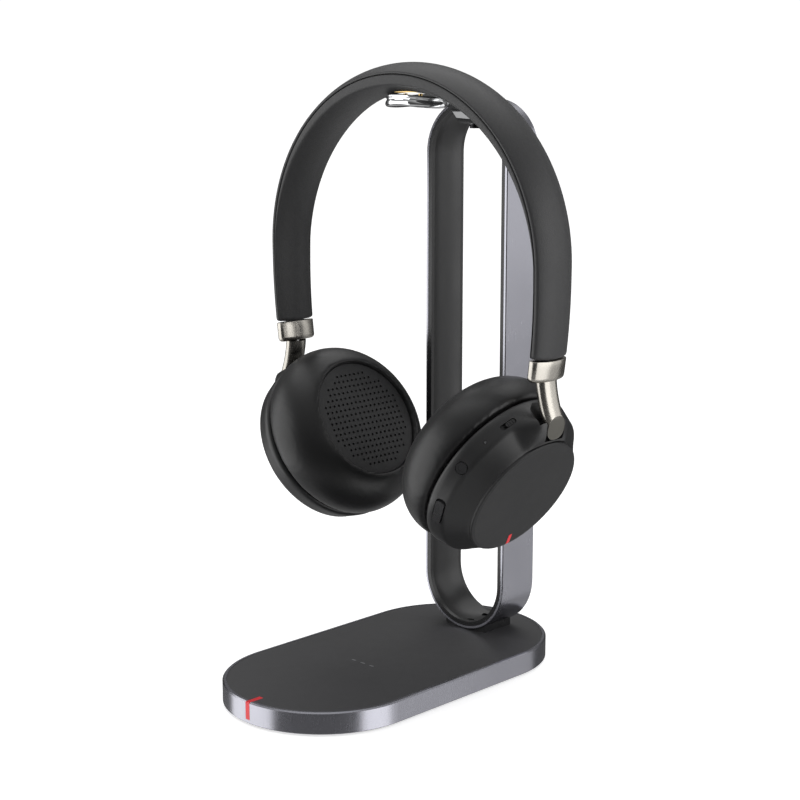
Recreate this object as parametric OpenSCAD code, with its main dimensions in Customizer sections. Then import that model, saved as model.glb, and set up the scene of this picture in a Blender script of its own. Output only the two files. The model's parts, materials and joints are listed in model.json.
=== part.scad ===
// Wireless office headset, hung on its charging stand.
// X runs from ear to ear, -Y is the front and Z is up. The origin lies under the middle of the base.
// The two ear cups are mirror images, so each side piece is drawn once and mirrored.

/* [Stand base] */
// Width of the base
base_w = 80; // [72:1:96]
// Length of the base, front to back
base_l = 152.7; // [146:0.1:170]
// Height of the base's upper face
base_h = 9.4; // [9:0.1:11]
// Wall of the metal band round the base
band_wall = 1.6; // [1.2:0.1:2.2]
// Radius of the wireless charging coil
coil_r = 20; // [16:1:22]
// Distance of the coil's centre in front of the middle
coil_front = 34; // [30:1:38]

/* [Stand loop] */
// Outer width of the upright loop
loop_w = 43.9; // [40:0.1:48]
// Height of the loop's top above the table
loop_top = 230.55; // [230:0.05:231]
// Depth of the loop, front to back
loop_depth = 19.6; // [16:0.1:22]
// Place of the loop's front edge
loop_front = 44; // [43:0.5:48]
// Thickness of the loop's metal band
loop_metal = 1.2; // [1:0.1:1.4]
// Thickness of the loop's plastic lining
loop_lining = 1.8; // [1.6:0.1:2]

/* [Headband] */
// Outer width of the arch, over the sleeve
arch_w = 149.5; // [149:0.1:150]
// Height of the arch's top above the table
arch_top = 245.2; // [245:0.05:245.4]
// Width of the sleeve at the top
sleeve_w = 23; // [20:0.5:24]
// Width of the sleeve at the ferrules
sleeve_end_w = 18.6; // [17:0.1:19]
// Thickness of the sleeve down the legs
sleeve_t = 7; // [6.8:0.1:7.4]
// Place of the headset's middle plane behind the base's middle
headset_y = 13; // [12:0.5:14]
// Bend radius of the legs
leg_r = 240; // [236:1:244]

/* [Ear cups] */
// Lean of each ear cup from upright
cup_lean = 29.9; // [29:0.1:30]
// Distance of the cup's centre from the middle
cup_x = 40.5; // [40:0.1:41]
// Height of the cup's centre
cup_z = 93.1; // [92.8:0.1:93.4]
// Largest radius of the cushion
cushion_r = 36; // [35.5:0.1:36.2]
// Largest radius of the housing
rim_r = 34.9; // [34.7:0.1:35]
// Radius of the outer plate
plate_r = 26; // [25.8:0.1:26.2]
// Distance of the outer plate's face from the cup's centre
plate_z = 21.3; // [21.2:0.1:21.4]
// Distance of the cushion's crest from the cup's centre
crest_z = 19.6; // [19:0.1:20]

/* [Travel] */
// Width of the running gap between moving pieces
gap = 0.3; // [0.25:0.05:0.35]
// Clearance of a shaft in its bore, on the radius
fit = 0.06; // [0.04:0.01:0.09]

/* [Hidden] */
$fn = 64;
eps = 0.05;
snug = 0.1;

// Base
base_r = base_w / 2;
base_half = base_l / 2 - base_r;
foot_h = 0.8;
floor_h = 1.2;
lid_h = 1.8;
lid_z = base_h - lid_h;
inner_r = base_r - band_wall - snug;
weight_z = foot_h + floor_h + snug;
weight_h = 2.7;
screw_x = 24;
screw_y = 50;
tag_w = 2.2;
tag_top_l = 7;
tag_t = 0.4;
tag_drop = 7;
inlet_w = 9;
inlet_h = 3.3;
inlet_l = 7.2;
inlet_z = 5.1;
inlet_wall = 0.4;
led_y = -16;
led_xs = [-4.6, 0.4, 5.4];
led_l = 2.2;
led_d = 0.9;

// Loop
loop_r = loop_w / 2;
loop_low_z = base_h + eps + loop_r;
loop_high_z = loop_top - loop_r;
loop_half = (loop_high_z - loop_low_z) / 2;
loop_mid_z = (loop_high_z + loop_low_z) / 2;
loop_back = loop_front + loop_depth;
lining_r = loop_r - loop_metal - eps;
lining_in = lining_r - loop_lining;
bolt_ys = [loop_front + 5, loop_back - 5];
bolt_d = 3;
saddle_half = 11;

// Headband
arch_r = arch_w / 2;
inner_arch_r = arch_r - sleeve_t;
arch_z = arch_top - arch_r;
pad_sag = 6.5 + 5.2 - sleeve_t;
leg_z = arch_z - pad_sag;
crown_r = 20;
pad_r = 22;
seam_in = 4.55;
leg_end_z = 137;
leg_a = asin((leg_z - leg_end_z) / leg_r);
leg_mid_x = arch_r - sleeve_t / 2;
leg_cx = leg_mid_x - leg_r;
pad_bottom = leg_z + inner_arch_r;
spring_in = 6;
spring_t = 0.8;
spring_w = 12;
contact_x = 4;

// Slider, with its own axis down the end of each leg
stem_lean = 5;
ferrule_z = 133.3;
ferrule_x = leg_cx + leg_r * cos(asin((leg_z - ferrule_z) / leg_r));
ferrule_h = 8;
ferrule_w = 19.8;
ferrule_t = 8.6;
ferrule_round = 3.6;
stem_d = 3;
stem_top = 30;
stem_low = -8;
guide_t = 3.9;
guide_w = 7;
guide_top = 32;
collar_d = 7;
collar_h = 3;

// Arm, a bar bent outwards below the ferrule
arm_w = 9.4;
arm_t = 5;
arm_round = 2;
arm_a0 = 5;
arm_sweep = 27;
arm_r = 46.2;
arm_drop = ferrule_h / 2 + gap;
arm_x0 = ferrule_x - arm_drop * sin(stem_lean);
arm_z0 = ferrule_z - arm_drop * cos(stem_lean);
arm_cx = arm_x0 + arm_r * cos(arm_a0);
arm_cz = arm_z0 + arm_r * sin(arm_a0);
tip_x = 73.8;
tip_z = 111.4;
tip_lean = 10;

// Tilt pivot of the cup, seen in the room and in the cup's own frame
pivot_x = 72;
pivot_z = 112.2;
pivot_dx = pivot_x - cup_x;
pivot_dz = pivot_z - cup_z;
pin_x = -pivot_dx * sin(cup_lean) - pivot_dz * cos(cup_lean);
pin_z = pivot_dx * cos(cup_lean) - pivot_dz * sin(cup_lean);
pin_d = 2.4;
pin_half = 7.4;
cheek_in = arm_w / 2 + gap;
cheek_t = 2.5;
cheek_r = 2.5;
tip_swing_r = 5;
arm_bed = 22;
arm_bed_z = 3.9;

// Cup shell
seam_z = 4.2;
rim_z0 = 6;
rim_z1 = 12.6;
rim_lean = 15;
crease_r = rim_r - (rim_z1 - rim_z0) * tan(rim_lean);
waist_r = 24;
waist_sag = 0.5;
collar_r = 31.2;
wall = 1.7;
plate_t = 1.6;
shell_z = plate_z - plate_t - eps;
lip_h = 1.1;
lip_z = plate_z - plate_t - lip_h;
neck_r = 23.8;
baffle_r = 31.2;
baffle_t = 2;
driver_r = 18;
cup_screw_r = 28.6;
cup_screw_as = [60, 180, 300];
cushion_back = 3.4;
cushion_lip = 1.8;
shoulder_r = 17.2;
shoulder_c = cushion_r - shoulder_r;
shoulder_z = -(crest_z - shoulder_r);
bowl_r = 24.6;
cloth_z = -16.4;
cloth_t = 0.8;

// Controls, by their angle round the rim: 180 is the top and 270 the front
switch_a = 208;
mic_hole_a = 227;
button_a = 249;
rocker_a = 285;
control_z = 9.9;
control_r = rim_r - (control_z - rim_z0) * tan(rim_lean);
button_d = 4.4;
rocker_l = 11;
rocker_w = 3.6;
rocker_axis = -1.6;
barrel_d = 1.6;
switch_l = 4.2;
switch_w = 1.8;
switch_travel = 2.4;

// Microphone boom
boom_a = 10.6;
boom_w = 5.2;
boom_t = 1.8;
boom_z = 14.6;
boom_in = -17;
boom_out = 29.3;
stripe_w = 1.1;
stripe_in = 20.2;
stripe_from = 28;

stand_nodes = ["foot_pad", "base_floor", "base_band", "base_top", "base_weight", "charging_coil",
    "coil_shield", "base_board", "usb_inlet", "base_tag", "indicator_leds", "base_screws", "loop_foot",
    "loop_band", "loop_lining_strip", "loop_bolts", "cradle", "cradle_screws", "contact_pins"];
band_nodes = ["headband_cover", "headband_pad", "band_spring", "band_contacts", "left_ferrule",
    "right_ferrule", "left_slide_guide", "right_slide_guide", "left_stem", "right_stem", "left_arm",
    "right_arm", "left_tilt_pin", "right_tilt_pin"];
cup_nodes = ["left_housing", "right_housing", "left_outer_plate", "right_outer_plate", "left_baffle",
    "right_baffle", "left_driver", "right_driver", "left_cushion_ring", "right_cushion_ring",
    "left_cushion", "right_cushion", "left_speaker_cloth", "right_speaker_cloth", "left_cup_screws",
    "right_cup_screws", "battery", "main_board", "mic_boom", "boom_tip", "power_switch",
    "call_button", "volume_rocker", "status_light"];

// ---------- shared shapes ----------

// Sweeps a half profile round a racetrack: x is the distance from the centre line, y the height.
module racetrack(half) {
    for (end = [0, 180])
        rotate([0, 0, end]) translate([0, half, 0]) rotate_extrude(angle = 180) children();
    rotate([90, 0, 0]) linear_extrude(2 * half, center = true) {
        children();
        mirror([1, 0]) children();
    }
}

// A solid racetrack plate of a given edge radius.
module track_plate(radius, height) {
    racetrack(base_half) square([radius, height]);
}

// Turns a racetrack upright, with its height running from the loop's front to its back.
module upright_track() {
    translate([0, loop_back, loop_mid_z]) rotate([90, 0, 0]) racetrack(loop_half) children();
}

// A rectangle with round corners, centred.
module round_rect(size_x, size_y, corner) {
    square([size_x - 2 * corner, size_y], center = true);
    square([size_x, size_y - 2 * corner], center = true);
    for (sx = [-1, 1], sy = [-1, 1])
        translate([sx * (size_x / 2 - corner), sy * (size_y / 2 - corner)]) circle(corner);
}

// Sweeps a profile about a line along Y, from one angle to another, 0 at +X and 90 at the top.
module bend(centre_x, centre_z, from, to) {
    translate([centre_x, headset_y, centre_z]) rotate([90, 0, 0]) rotate([0, 0, from])
        rotate_extrude(angle = to - from, $fn = 160) children();
}

// Mirrors a right-hand piece to the left when side is -1.
module side_of(side) {
    mirror([side < 0 ? 1 : 0, 0, 0]) children();
}

// The slider's frame: origin at the ferrule's middle, Z up the stem.
module stem_frame() {
    translate([ferrule_x, headset_y, ferrule_z]) rotate([0, stem_lean, 0]) children();
}

// The cup's frame: origin at its centre, Z outwards, X down and Y to the back.
module cup_frame() {
    translate([cup_x, headset_y, cup_z]) rotate([0, 90 + cup_lean, 0]) children();
}

// A cylinder along Y through the tilt pivot, between two distances from the middle plane.
module pivot_rod(radius, from, to) {
    translate([pin_x, to, pin_z]) rotate([90, 0, 0]) cylinder(r = radius, h = to - from);
}

// A place on the rim's surface: Z points out of the cup, Y along the rim.
module on_rim(angle) {
    rotate([0, 0, angle]) translate([control_r, 0, control_z]) rotate([0, 90 - rim_lean, 0]) children();
}

// ---------- stand base ----------

module foot_pad() {
    color("#1c1c1e") racetrack(base_half) square([base_r - 2.4, foot_h]);
}

module base_floor() {
    color("#2a2b2e") translate([0, 0, foot_h]) difference() {
        track_plate(inner_r, floor_h);
        screw_places() translate([0, 0, -eps]) cylinder(d = 4.8, h = floor_h + 2 * eps);
    }
}

module base_band() {
    color("#6d6e78") difference() {
        racetrack(base_half) polygon([[base_r - band_wall, foot_h], [base_r - 0.3, foot_h],
            [base_r, foot_h + 0.3], [base_r, base_h - 0.5], [base_r - 0.5, base_h],
            [base_r - band_wall, base_h]]);
        tag_room();
        translate([0, base_l / 2, inlet_z]) rotate([90, 0, 0])
            linear_extrude(3 * band_wall, center = true)
            round_rect(inlet_w + snug, inlet_h + snug, inlet_h / 2);
    }
}

module base_top() {
    color("#2b2b2d") difference() {
        union() {
            translate([0, 0, lid_z]) track_plate(inner_r, lid_h - snug);
            screw_places() translate([0, 0, weight_z]) cylinder(d = 5, h = lid_z - weight_z + eps);
        }
        tag_room();
        screw_places() cylinder(d = 2.2, h = lid_z);
        for (x = led_xs)
            translate([x, led_y, lid_z - eps]) linear_extrude(lid_h + 2 * eps)
                round_rect(led_l + snug, led_d + snug, led_d / 2);
        for (y = bolt_ys)
            translate([0, y, lid_z - eps]) cylinder(d = bolt_d + 0.2, h = lid_h + 2 * eps);
    }
}

module base_weight() {
    color("#8a8d91") difference() {
        translate([0, 0, weight_z]) track_plate(inner_r - 0.5, weight_h);
        screw_places() cylinder(d = 5.4, h = base_h);
        translate([-24, 28, weight_z + 1]) cube([48, 60, base_h]);
        translate([-6, 60, weight_z - 1]) cube([12, 30, base_h]);
    }
}

module charging_coil() {
    color("#b8743a") translate([0, -coil_front, 6.1]) rotate_extrude() {
        translate([8, 0]) square([coil_r - 8, 0.5]);
        for (turn = [0 : 7])
            translate([8.2 + turn * (coil_r - 8.8) / 7, 0.5]) square([0.9, 0.7]);
    }
}

module coil_shield() {
    color("#3a3a3c") translate([0, -coil_front, 5.1]) cylinder(r = coil_r + 2, h = 0.9);
}

module base_board() {
    color("#1f5b3a") {
        translate([-21, 30, 4.3]) difference() {
            cube([42, 36, 1]);
            for (y = bolt_ys)
                translate([21, y - 30, -eps]) cylinder(d = 8, h = 2);
        }
        translate([-16, 34, 5.3]) cube([9, 9, 1.2]);
        translate([8, 36, 5.3]) cube([6, 6, 1.6]);
        translate([-17, 50, 5.3]) cube([5, 8, 1]);
    }
}

module usb_inlet() {
    color("#9a9ca0") translate([0, base_l / 2 - 0.4, inlet_z]) rotate([90, 0, 0]) difference() {
        linear_extrude(inlet_l) round_rect(inlet_w, inlet_h, inlet_h / 2 - eps);
        translate([0, 0, -eps]) linear_extrude(inlet_l - 0.8)
            round_rect(inlet_w - 2 * inlet_wall, inlet_h - 2 * inlet_wall, inlet_h / 2 - inlet_wall - eps);
    }
    color("#202022") translate([-3, base_l / 2 - inlet_l + 0.3, inlet_z - 0.35]) cube([6, 5, 0.7]);
}

// Room for the tag in the band and the top, a little larger than the tag.
module tag_room() {
    translate([-(tag_w + snug) / 2, -base_l / 2 - 1, base_h - tag_drop - eps])
        cube([tag_w + snug, 1 + tag_t + eps, tag_drop + 1]);
    translate([-(tag_w + snug) / 2, -base_l / 2 - 1, base_h - snug - tag_t - eps])
        cube([tag_w + snug, 1 + tag_top_l + eps, 1]);
}

module base_tag() {
    color("#c8202c") {
        translate([-tag_w / 2, -base_l / 2, base_h - tag_drop]) cube([tag_w, tag_t, tag_drop - snug]);
        translate([-tag_w / 2, -base_l / 2 + tag_t, base_h - snug - tag_t])
            cube([tag_w, tag_top_l - tag_t, tag_t]);
    }
}

module indicator_leds() {
    color("#d8dde0") for (x = led_xs)
        translate([x, led_y, lid_z]) linear_extrude(lid_h - snug) round_rect(led_l, led_d, led_d / 2 - eps);
}

// The four places of the base's screws.
module screw_places() {
    for (x = [-screw_x, screw_x], y = [-screw_y, screw_y])
        translate([x, y, 0]) children();
}

module base_screws() {
    color("#77797c") screw_places() {
        translate([0, 0, foot_h + snug]) difference() {
            cylinder(d = 4.6, h = 1);
            translate([0, 0, -eps]) cylinder(d = 1.8, h = 0.6, $fn = 6);
        }
        translate([0, 0, foot_h + snug + 1]) cylinder(d = 2, h = 4.6);
    }
}

// ---------- stand loop ----------

module bolt_bores(bore) {
    for (y = bolt_ys)
        translate([0, y, lid_z]) cylinder(d = bore, h = 4.4);
}

module loop_foot() {
    color("#232325") difference() {
        translate([-saddle_half, loop_front + 1.6, base_h - snug])
            cube([2 * saddle_half, loop_depth - 3.2, 3.2]);
        translate([0, loop_back, loop_low_z]) rotate([90, 0, 0])
            cylinder(r = loop_r + eps, h = loop_depth, $fn = 160);
        bolt_bores(bolt_d + 0.2);
    }
}

module loop_band() {
    color("#6d6e78") difference() {
        upright_track() polygon([[loop_r - loop_metal, 0], [loop_r - 0.3, 0], [loop_r, 0.3],
            [loop_r, loop_depth - 0.3], [loop_r - 0.3, loop_depth], [loop_r - loop_metal, loop_depth]]);
        bolt_bores(bolt_d + 0.2);
    }
}

// The lining's inner face is a shallow channel between two lips.
module loop_lining_strip() {
    channel_r = 32.5;
    color("#242426") difference() {
        upright_track() difference() {
            translate([lining_in, snug]) square([loop_lining, loop_depth - 2 * snug]);
            translate([lining_in + 1 - channel_r, loop_depth / 2]) circle(channel_r, $fn = 200);
        }
        bolt_bores(bolt_d + 0.2);
        cradle_screw_places() cylinder(d = 2.1, h = 8);
    }
}

module loop_bolts() {
    color("#77797c") for (y = bolt_ys)
        translate([0, y, 0]) {
            translate([0, 0, lid_z - 1.7]) cylinder(d = 6, h = 1.6);
            translate([0, 0, lid_z - snug]) cylinder(d = bolt_d, h = 3.9);
        }
}

// ---------- cradle ----------

// Outline of the cradle from above: a broad round saddle that narrows to a neck.
module cradle_plan() {
    translate([0, 13.5]) round_rect(27, 19, 8);
    polygon([[-11, 18], [11, 18], [6, 31], [6, loop_front - eps], [-6, loop_front - eps], [-6, 31]]);
}

// Two places on the cradle's tongue, inside the loop's top.
module cradle_screw_places() {
    for (y = [loop_front + 5, loop_back - 5])
        translate([0, y, loop_high_z + 12.5]) children();
}

module cradle() {
    top_r = inner_arch_r - gap;
    color("#d9dbde") difference() {
        union() {
            intersection() {
                translate([0, 0, 215]) linear_extrude(25) cradle_plan();
                bend(0, leg_z, 60, 120) translate([top_r - 4.2, -40]) square([4.2, 80]);
            }
            // Tongue under the loop's top
            intersection() {
                translate([-6, loop_front - 6, loop_high_z + 12]) cube([12, loop_depth + 2, 8]);
                translate([0, loop_back, loop_high_z]) rotate([90, 0, 0])
                    cylinder(r = lining_in - eps, h = loop_depth + 10, $fn = 160);
            }
        }
        // Hollow under the saddle
        translate([0, 13.5, leg_z + top_r - 5]) linear_extrude(2.2) round_rect(20, 12, 5);
        for (x = [-contact_x, contact_x])
            translate([x, headset_y, 224]) cylinder(d = 1.8, h = 12);
        cradle_screw_places() translate([0, 0, -2]) cylinder(d = 2.2, h = 12);
    }
}

module cradle_screws() {
    color("#77797c") cradle_screw_places() {
        translate([0, 0, -2.2]) cylinder(d = 4, h = 1.6);
        translate([0, 0, -0.6]) cylinder(d = 2, h = 7.6);
    }
}

module contact_pins() {
    color("#d4b058") for (x = [-contact_x, contact_x])
        translate([x, headset_y, pad_bottom - gap - 3.6]) cylinder(d = 1.6, h = 3.5);
}

// ---------- headband ----------

// Sleeve profile out to a crowned outer face.
module outer_profile(from, radius) {
    intersection() {
        union() {
            translate([radius - crown_r, 0]) circle(crown_r, $fn = 96);
            translate([from, -sleeve_w / 2]) square([radius - crown_r - from, sleeve_w]);
        }
        translate([from, -sleeve_w / 2]) square([radius, sleeve_w]);
    }
}

// Space inside the sleeve's padded inner face, which bulges towards the head.
module inner_profile(from, radius) {
    difference() {
        translate([from, -sleeve_w]) square([radius - from + 5, 2 * sleeve_w]);
        translate([radius + pad_r, 0]) circle(pad_r, $fn = 96);
    }
}

// Flat-edged profile out to the seam between cover and pad.
module seam_profile(from, radius) {
    translate([from, -sleeve_w]) square([radius - from, 2 * sleeve_w]);
}

// The two legs' sweep of a profile, both sides.
module legs(extra) {
    for (side = [-1, 1])
        side_of(side) bend(leg_cx, leg_z, -leg_a - extra, extra) children();
}

module outer_space() {
    bend(0, arch_z, 0, 180) outer_profile(0, arch_r);
    for (side = [-1, 1])
        side_of(side) translate([0, headset_y, leg_z]) linear_extrude(arch_z - leg_z)
            outer_profile(0, arch_r);
    legs(0) outer_profile(leg_r - 12, leg_r + sleeve_t / 2);
}

module seam_space() {
    seam = arch_r - seam_in;
    bend(0, arch_z, 0, 180) seam_profile(0, seam);
    for (side = [-1, 1])
        side_of(side) translate([0, headset_y, leg_z - eps]) linear_extrude(arch_z - leg_z + 2 * eps)
            seam_profile(0, seam);
    legs(0.3) seam_profile(leg_r - 13, leg_r + sleeve_t / 2 - seam_in);
}

module inner_space() {
    bend(0, leg_z, 0, 180) inner_profile(0, inner_arch_r);
    legs(0.3) inner_profile(leg_r - 14, leg_r - sleeve_t / 2);
    translate([-60, headset_y - sleeve_w, 120]) cube([120, 2 * sleeve_w, leg_z - 120]);
}

// The sleeve narrows from its top to the ferrules.
module taper() {
    rotate([90, 0, 90]) translate([headset_y, 0]) linear_extrude(2 * arch_w, center = true)
        polygon([[-sleeve_end_w / 2, leg_end_z - 10], [sleeve_end_w / 2, leg_end_z - 10],
            [sleeve_w / 2, arch_top], [-sleeve_w / 2, arch_top]]);
}

// Room for the slide guides inside both legs, and for the ferrules under them.
module guide_room() {
    for (side = [-1, 1])
        side_of(side) stem_frame() {
            translate([-guide_t / 2 - snug, -guide_w / 2 - snug, 0])
                cube([guide_t + 2 * snug, guide_w + 2 * snug, guide_top + snug]);
            translate([-ferrule_t, -ferrule_w, -ferrule_h]) cube([2 * ferrule_t, 2 * ferrule_w,
                1.5 * ferrule_h + eps]);
        }
}

module spring_ring(grow) {
    bend(0, arch_z, 3 - grow, 177 + grow)
        translate([arch_r - spring_in - grow, -spring_w / 2 - grow])
        square([spring_t + 2 * grow, spring_w + 2 * grow]);
}

module headband_cover() {
    color("#2e2f33") difference() {
        intersection() {
            outer_space();
            taper();
        }
        seam_space();
        guide_room();
    }
}

module headband_pad() {
    color("#38393d") difference() {
        intersection() {
            outer_space();
            seam_space();
            taper();
        }
        inner_space();
        guide_room();
        spring_ring(snug);
        translate([0, headset_y, pad_bottom - 1]) linear_extrude(2.4) round_rect(16.2, 8.2, 2);
    }
}

module band_spring() {
    color("#a9acb0") spring_ring(0);
}

module band_contacts() {
    color("#c9a24a") translate([0, headset_y, pad_bottom + 0.1]) linear_extrude(1.2)
        round_rect(16, 8, 2);
}

// ---------- slider and arm ----------

module ferrule() {
    color("#b3aea6") stem_frame() difference() {
        union() {
            translate([0, 0, -ferrule_h / 2 + 0.8]) linear_extrude(ferrule_h - 0.8)
                round_rect(ferrule_t, ferrule_w, ferrule_round);
            translate([0, 0, -ferrule_h / 2]) linear_extrude(0.8)
                round_rect(ferrule_t - 0.8, ferrule_w - 0.8, ferrule_round - 0.4);
        }
        translate([0, 0, -ferrule_h / 2 - eps]) cylinder(d = collar_d + 0.4, h = collar_h + gap + eps);
        translate([0, 0, -ferrule_h]) cylinder(d = stem_d + 2 * fit, h = 2 * ferrule_h);
    }
}

module slide_guide() {
    color("#3d3e42") stem_frame() difference() {
        translate([-guide_t / 2, -guide_w / 2, ferrule_h / 2 + eps])
            cube([guide_t, guide_w, guide_top - ferrule_h / 2 - eps]);
        cylinder(d = stem_d + 2 * fit, h = guide_top + 1);
    }
}

module stem() {
    color("#a9acb0") stem_frame() translate([0, 0, stem_low])
        cylinder(d = stem_d, h = stem_top - stem_low);
}

module arm() {
    color("#b3aea6") difference() {
        union() {
            difference() {
                bend(arm_cx, arm_cz, 179 + arm_a0, 180 + arm_a0 + arm_sweep)
                    translate([arm_r, 0]) round_rect(arm_t, arm_w, arm_round);
                stem_frame() translate([-arm_w, -arm_w, -arm_drop]) cube([2 * arm_w, 2 * arm_w, arm_w]);
            }
            stem_frame() translate([0, 0, -arm_drop - 1]) cylinder(d = collar_d - 2.2, h = 1 + collar_h);
        }
        translate([tip_x, headset_y, tip_z]) rotate([0, tip_lean, 0]) translate([0, -arm_w, -20])
            cube([20, 2 * arm_w, 40]);
        stem_frame() translate([0, 0, stem_low - gap]) cylinder(d = stem_d + 2 * fit, h = 12);
        cup_frame() pivot_rod(pin_d / 2, -arm_w, arm_w);
    }
}

module tilt_pin() {
    color("#8f9296") cup_frame() pivot_rod(pin_d / 2 - eps, -pin_half, pin_half);
}

// ---------- ear cup ----------

// Outline of the housing from the seam to the plate, with its waist slightly hollowed.
module housing_profile() {
    chord = [plate_r + 0.3 - crease_r, shell_z - rim_z1];
    along = chord / norm(chord);
    middle = [crease_r, rim_z1] + chord / 2;
    difference() {
        polygon([[0, baffle_t + 0.4], [collar_r, baffle_t + 0.4], [collar_r, seam_z], [rim_r - 1.3, seam_z],
            [rim_r - 0.4, seam_z + 0.7], [rim_r, rim_z0], [crease_r, rim_z1], [plate_r + 0.3, shell_z],
            [0, shell_z]]);
        translate(middle + [along[1], -along[0]] * (waist_r - waist_sag)) circle(waist_r, $fn = 128);
    }
}

module housing_cavity() {
    rotate_extrude($fn = 128) polygon([[0, -1], [collar_r - 0.7, -1], [collar_r - 0.7, seam_z + 1],
        [rim_r - wall, rim_z0 + 1], [crease_r - wall, rim_z1 - 0.6], [neck_r, shell_z - 1.2],
        [neck_r, plate_z], [0, plate_z]]);
}

// Hollow that the arm's end lies in, cut along the arm towards the plate.
module arm_scoop() {
    rake = arm_a0 + arm_sweep - cup_lean;
    translate([pin_x, -2, pin_z]) rotate([0, cup_lean - 2, 0]) translate([-4.2, 0, -22])
        cylinder(r = 8, h = 44);
    pivot_rod(tip_swing_r, -cheek_in - gap, cheek_in);
    translate([pin_x, 0, pin_z]) rotate([0, rake, 0]) translate([-14, -cheek_in, -16])
        cube([13, 2 * cheek_in, 16]);
}

module cheeks() {
    for (from = [-cheek_in - cheek_t, cheek_in]) {
        pivot_rod(cheek_r, from, from + cheek_t);
        translate([pin_x - cheek_r + 0.3, from, rim_z1]) cube([2 * cheek_r + 2, cheek_t, pin_z - rim_z1]);
    }
}

module shell() {
    color("#26272a") cup_frame() difference() {
        union() {
            difference() {
                rotate_extrude($fn = 128) housing_profile();
                arm_scoop();
            }
            cheeks();
        }
        difference() {
            housing_cavity();
            translate([-45, -13, arm_bed_z]) cube([45 - arm_bed, 26, lip_z - gap - arm_bed_z]);
        }
        pivot_rod(pin_d / 2, -pin_half - snug, pin_half + snug);
        children();
    }
}

module left_housing() {
    side_of(-1) shell();
}

// The right housing also has the openings of the controls and the boom.
module right_housing() {
    shell() {
        on_rim(button_a) translate([0, 0, -4]) cylinder(d = button_d + 0.2, h = 8);
        on_rim(rocker_a) translate([0, 0, -2.6]) linear_extrude(6)
            round_rect(rocker_w + 0.5, rocker_l + 0.5, 1.8);
        on_rim(switch_a) translate([0, 0, -3]) linear_extrude(6)
            round_rect(switch_w + 0.3, switch_l + switch_travel + 0.3, 0.9);
        on_rim(mic_hole_a) translate([0, 0, -4]) cylinder(d = 1, h = 8);
        rotate([0, 0, boom_a]) translate([20, -boom_w / 2 - snug, boom_z - snug])
            cube([20, boom_w + 2 * snug, boom_t + 2 * snug]);
        stripe_way();
    }
}

// Way that the red stripe takes as the boom slides out.
module stripe_way() {
    rotate([0, 0, boom_a]) translate([0, stripe_w / 2 + snug, 0]) rotate([90, 0, 0])
        linear_extrude(stripe_w + 2 * snug) polygon([[stripe_from - snug, boom_z - snug],
        [40, boom_z - snug], [40, plate_z + 1], [stripe_in - snug, plate_z + 1],
        [stripe_in - snug, plate_z - 0.7], [24.3, plate_z - 0.7], [24.9, plate_z - 2],
        [stripe_from - snug, boom_z + 2]]);
}

module plate_disc(slot) {
    color("#2c2d30") cup_frame() difference() {
        union() {
            rotate_extrude($fn = 128) polygon([[0, plate_z - plate_t], [plate_r, plate_z - plate_t],
                [plate_r, plate_z - 0.7], [plate_r - 0.3, plate_z - 0.3], [plate_r - 1.4, plate_z],
                [0, plate_z]]);
            translate([0, 0, lip_z]) difference() {
                cylinder(r = neck_r - snug, h = lip_h + eps, $fn = 128);
                translate([0, 0, -eps]) cylinder(r = neck_r - 1.4, h = lip_h + eps, $fn = 128);
            }
        }
        if (slot) stripe_way();
    }
}

module left_outer_plate() {
    side_of(-1) plate_disc(false);
}

// Two rails under the right plate guide the boom.
module right_outer_plate() {
    plate_disc(true);
    color("#2c2d30") cup_frame() rotate([0, 0, boom_a]) for (side = [-1, 1])
        translate([boom_in, side * (boom_w / 2 + 0.75) - 0.6, boom_z])
            cube([40.3, 1.2, plate_z - plate_t - boom_z]);
}

module baffle() {
    color("#303134") cup_frame() translate([0, 0, 0.3]) difference() {
        cylinder(r = baffle_r, h = baffle_t, $fn = 128);
        translate([0, 0, -eps]) cylinder(r = driver_r + 0.2, h = baffle_t + 2 * eps);
        for (a = [0 : 30 : 330])
            rotate([0, 0, a]) translate([23, 0, -eps]) cylinder(d = 3, h = baffle_t + 2 * eps);
        for (a = cup_screw_as)
            rotate([0, 0, a]) translate([cup_screw_r, 0, -eps]) cylinder(d = 2.2, h = baffle_t + 2 * eps);
    }
}

module driver() {
    color("#c9c9c4") cup_frame() {
        translate([0, 0, 2.4]) cylinder(r = driver_r + 1.6, h = 1);
        translate([0, 0, -0.4]) cylinder(r = driver_r, h = 2.8);
        translate([0, 0, 3.4]) cylinder(r = 12, h = 2.6);
    }
}

module cushion_ring() {
    color("#303134") cup_frame() translate([0, 0, -1.6]) difference() {
        cylinder(r = 31, h = 1.5, $fn = 128);
        translate([0, 0, -eps]) cylinder(r = 25, h = 2, $fn = 128);
    }
}

module cup_screws() {
    color("#77797c") cup_frame() for (a = cup_screw_as)
        rotate([0, 0, a]) translate([cup_screw_r, 0, 0.3]) {
            cylinder(d = 2, h = 3);
            translate([0, 0, baffle_t + eps]) cylinder(d = 3.6, h = 1.2);
        }
}

// A ring cushion with a broad round shoulder and a bowl for the ear.
module cushion() {
    color("#29292c") cup_frame() rotate_extrude($fn = 96) difference() {
        intersection() {
            union() {
                translate([shoulder_c, shoulder_z]) circle(shoulder_r, $fn = 128);
                translate([0, -crest_z]) square([shoulder_c, crest_z]);
            }
            translate([bowl_r, -crest_z - 1]) square([cushion_r, crest_z + 1 + cushion_back]);
        }
        // Room for the baffle and the ring that holds the cushion
        translate([0, -cushion_lip]) square([collar_r + 0.2, crest_z]);
    }
}

module speaker_cloth() {
    color("#3a3a3d") cup_frame() translate([0, 0, cloth_z])
        cylinder(r = bowl_r - snug, h = cloth_t, $fn = 96);
}

module battery() {
    color("#aeb3b8") side_of(-1) cup_frame() translate([-15, -18, 8]) cube([30, 36, 5.2]);
}

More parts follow.
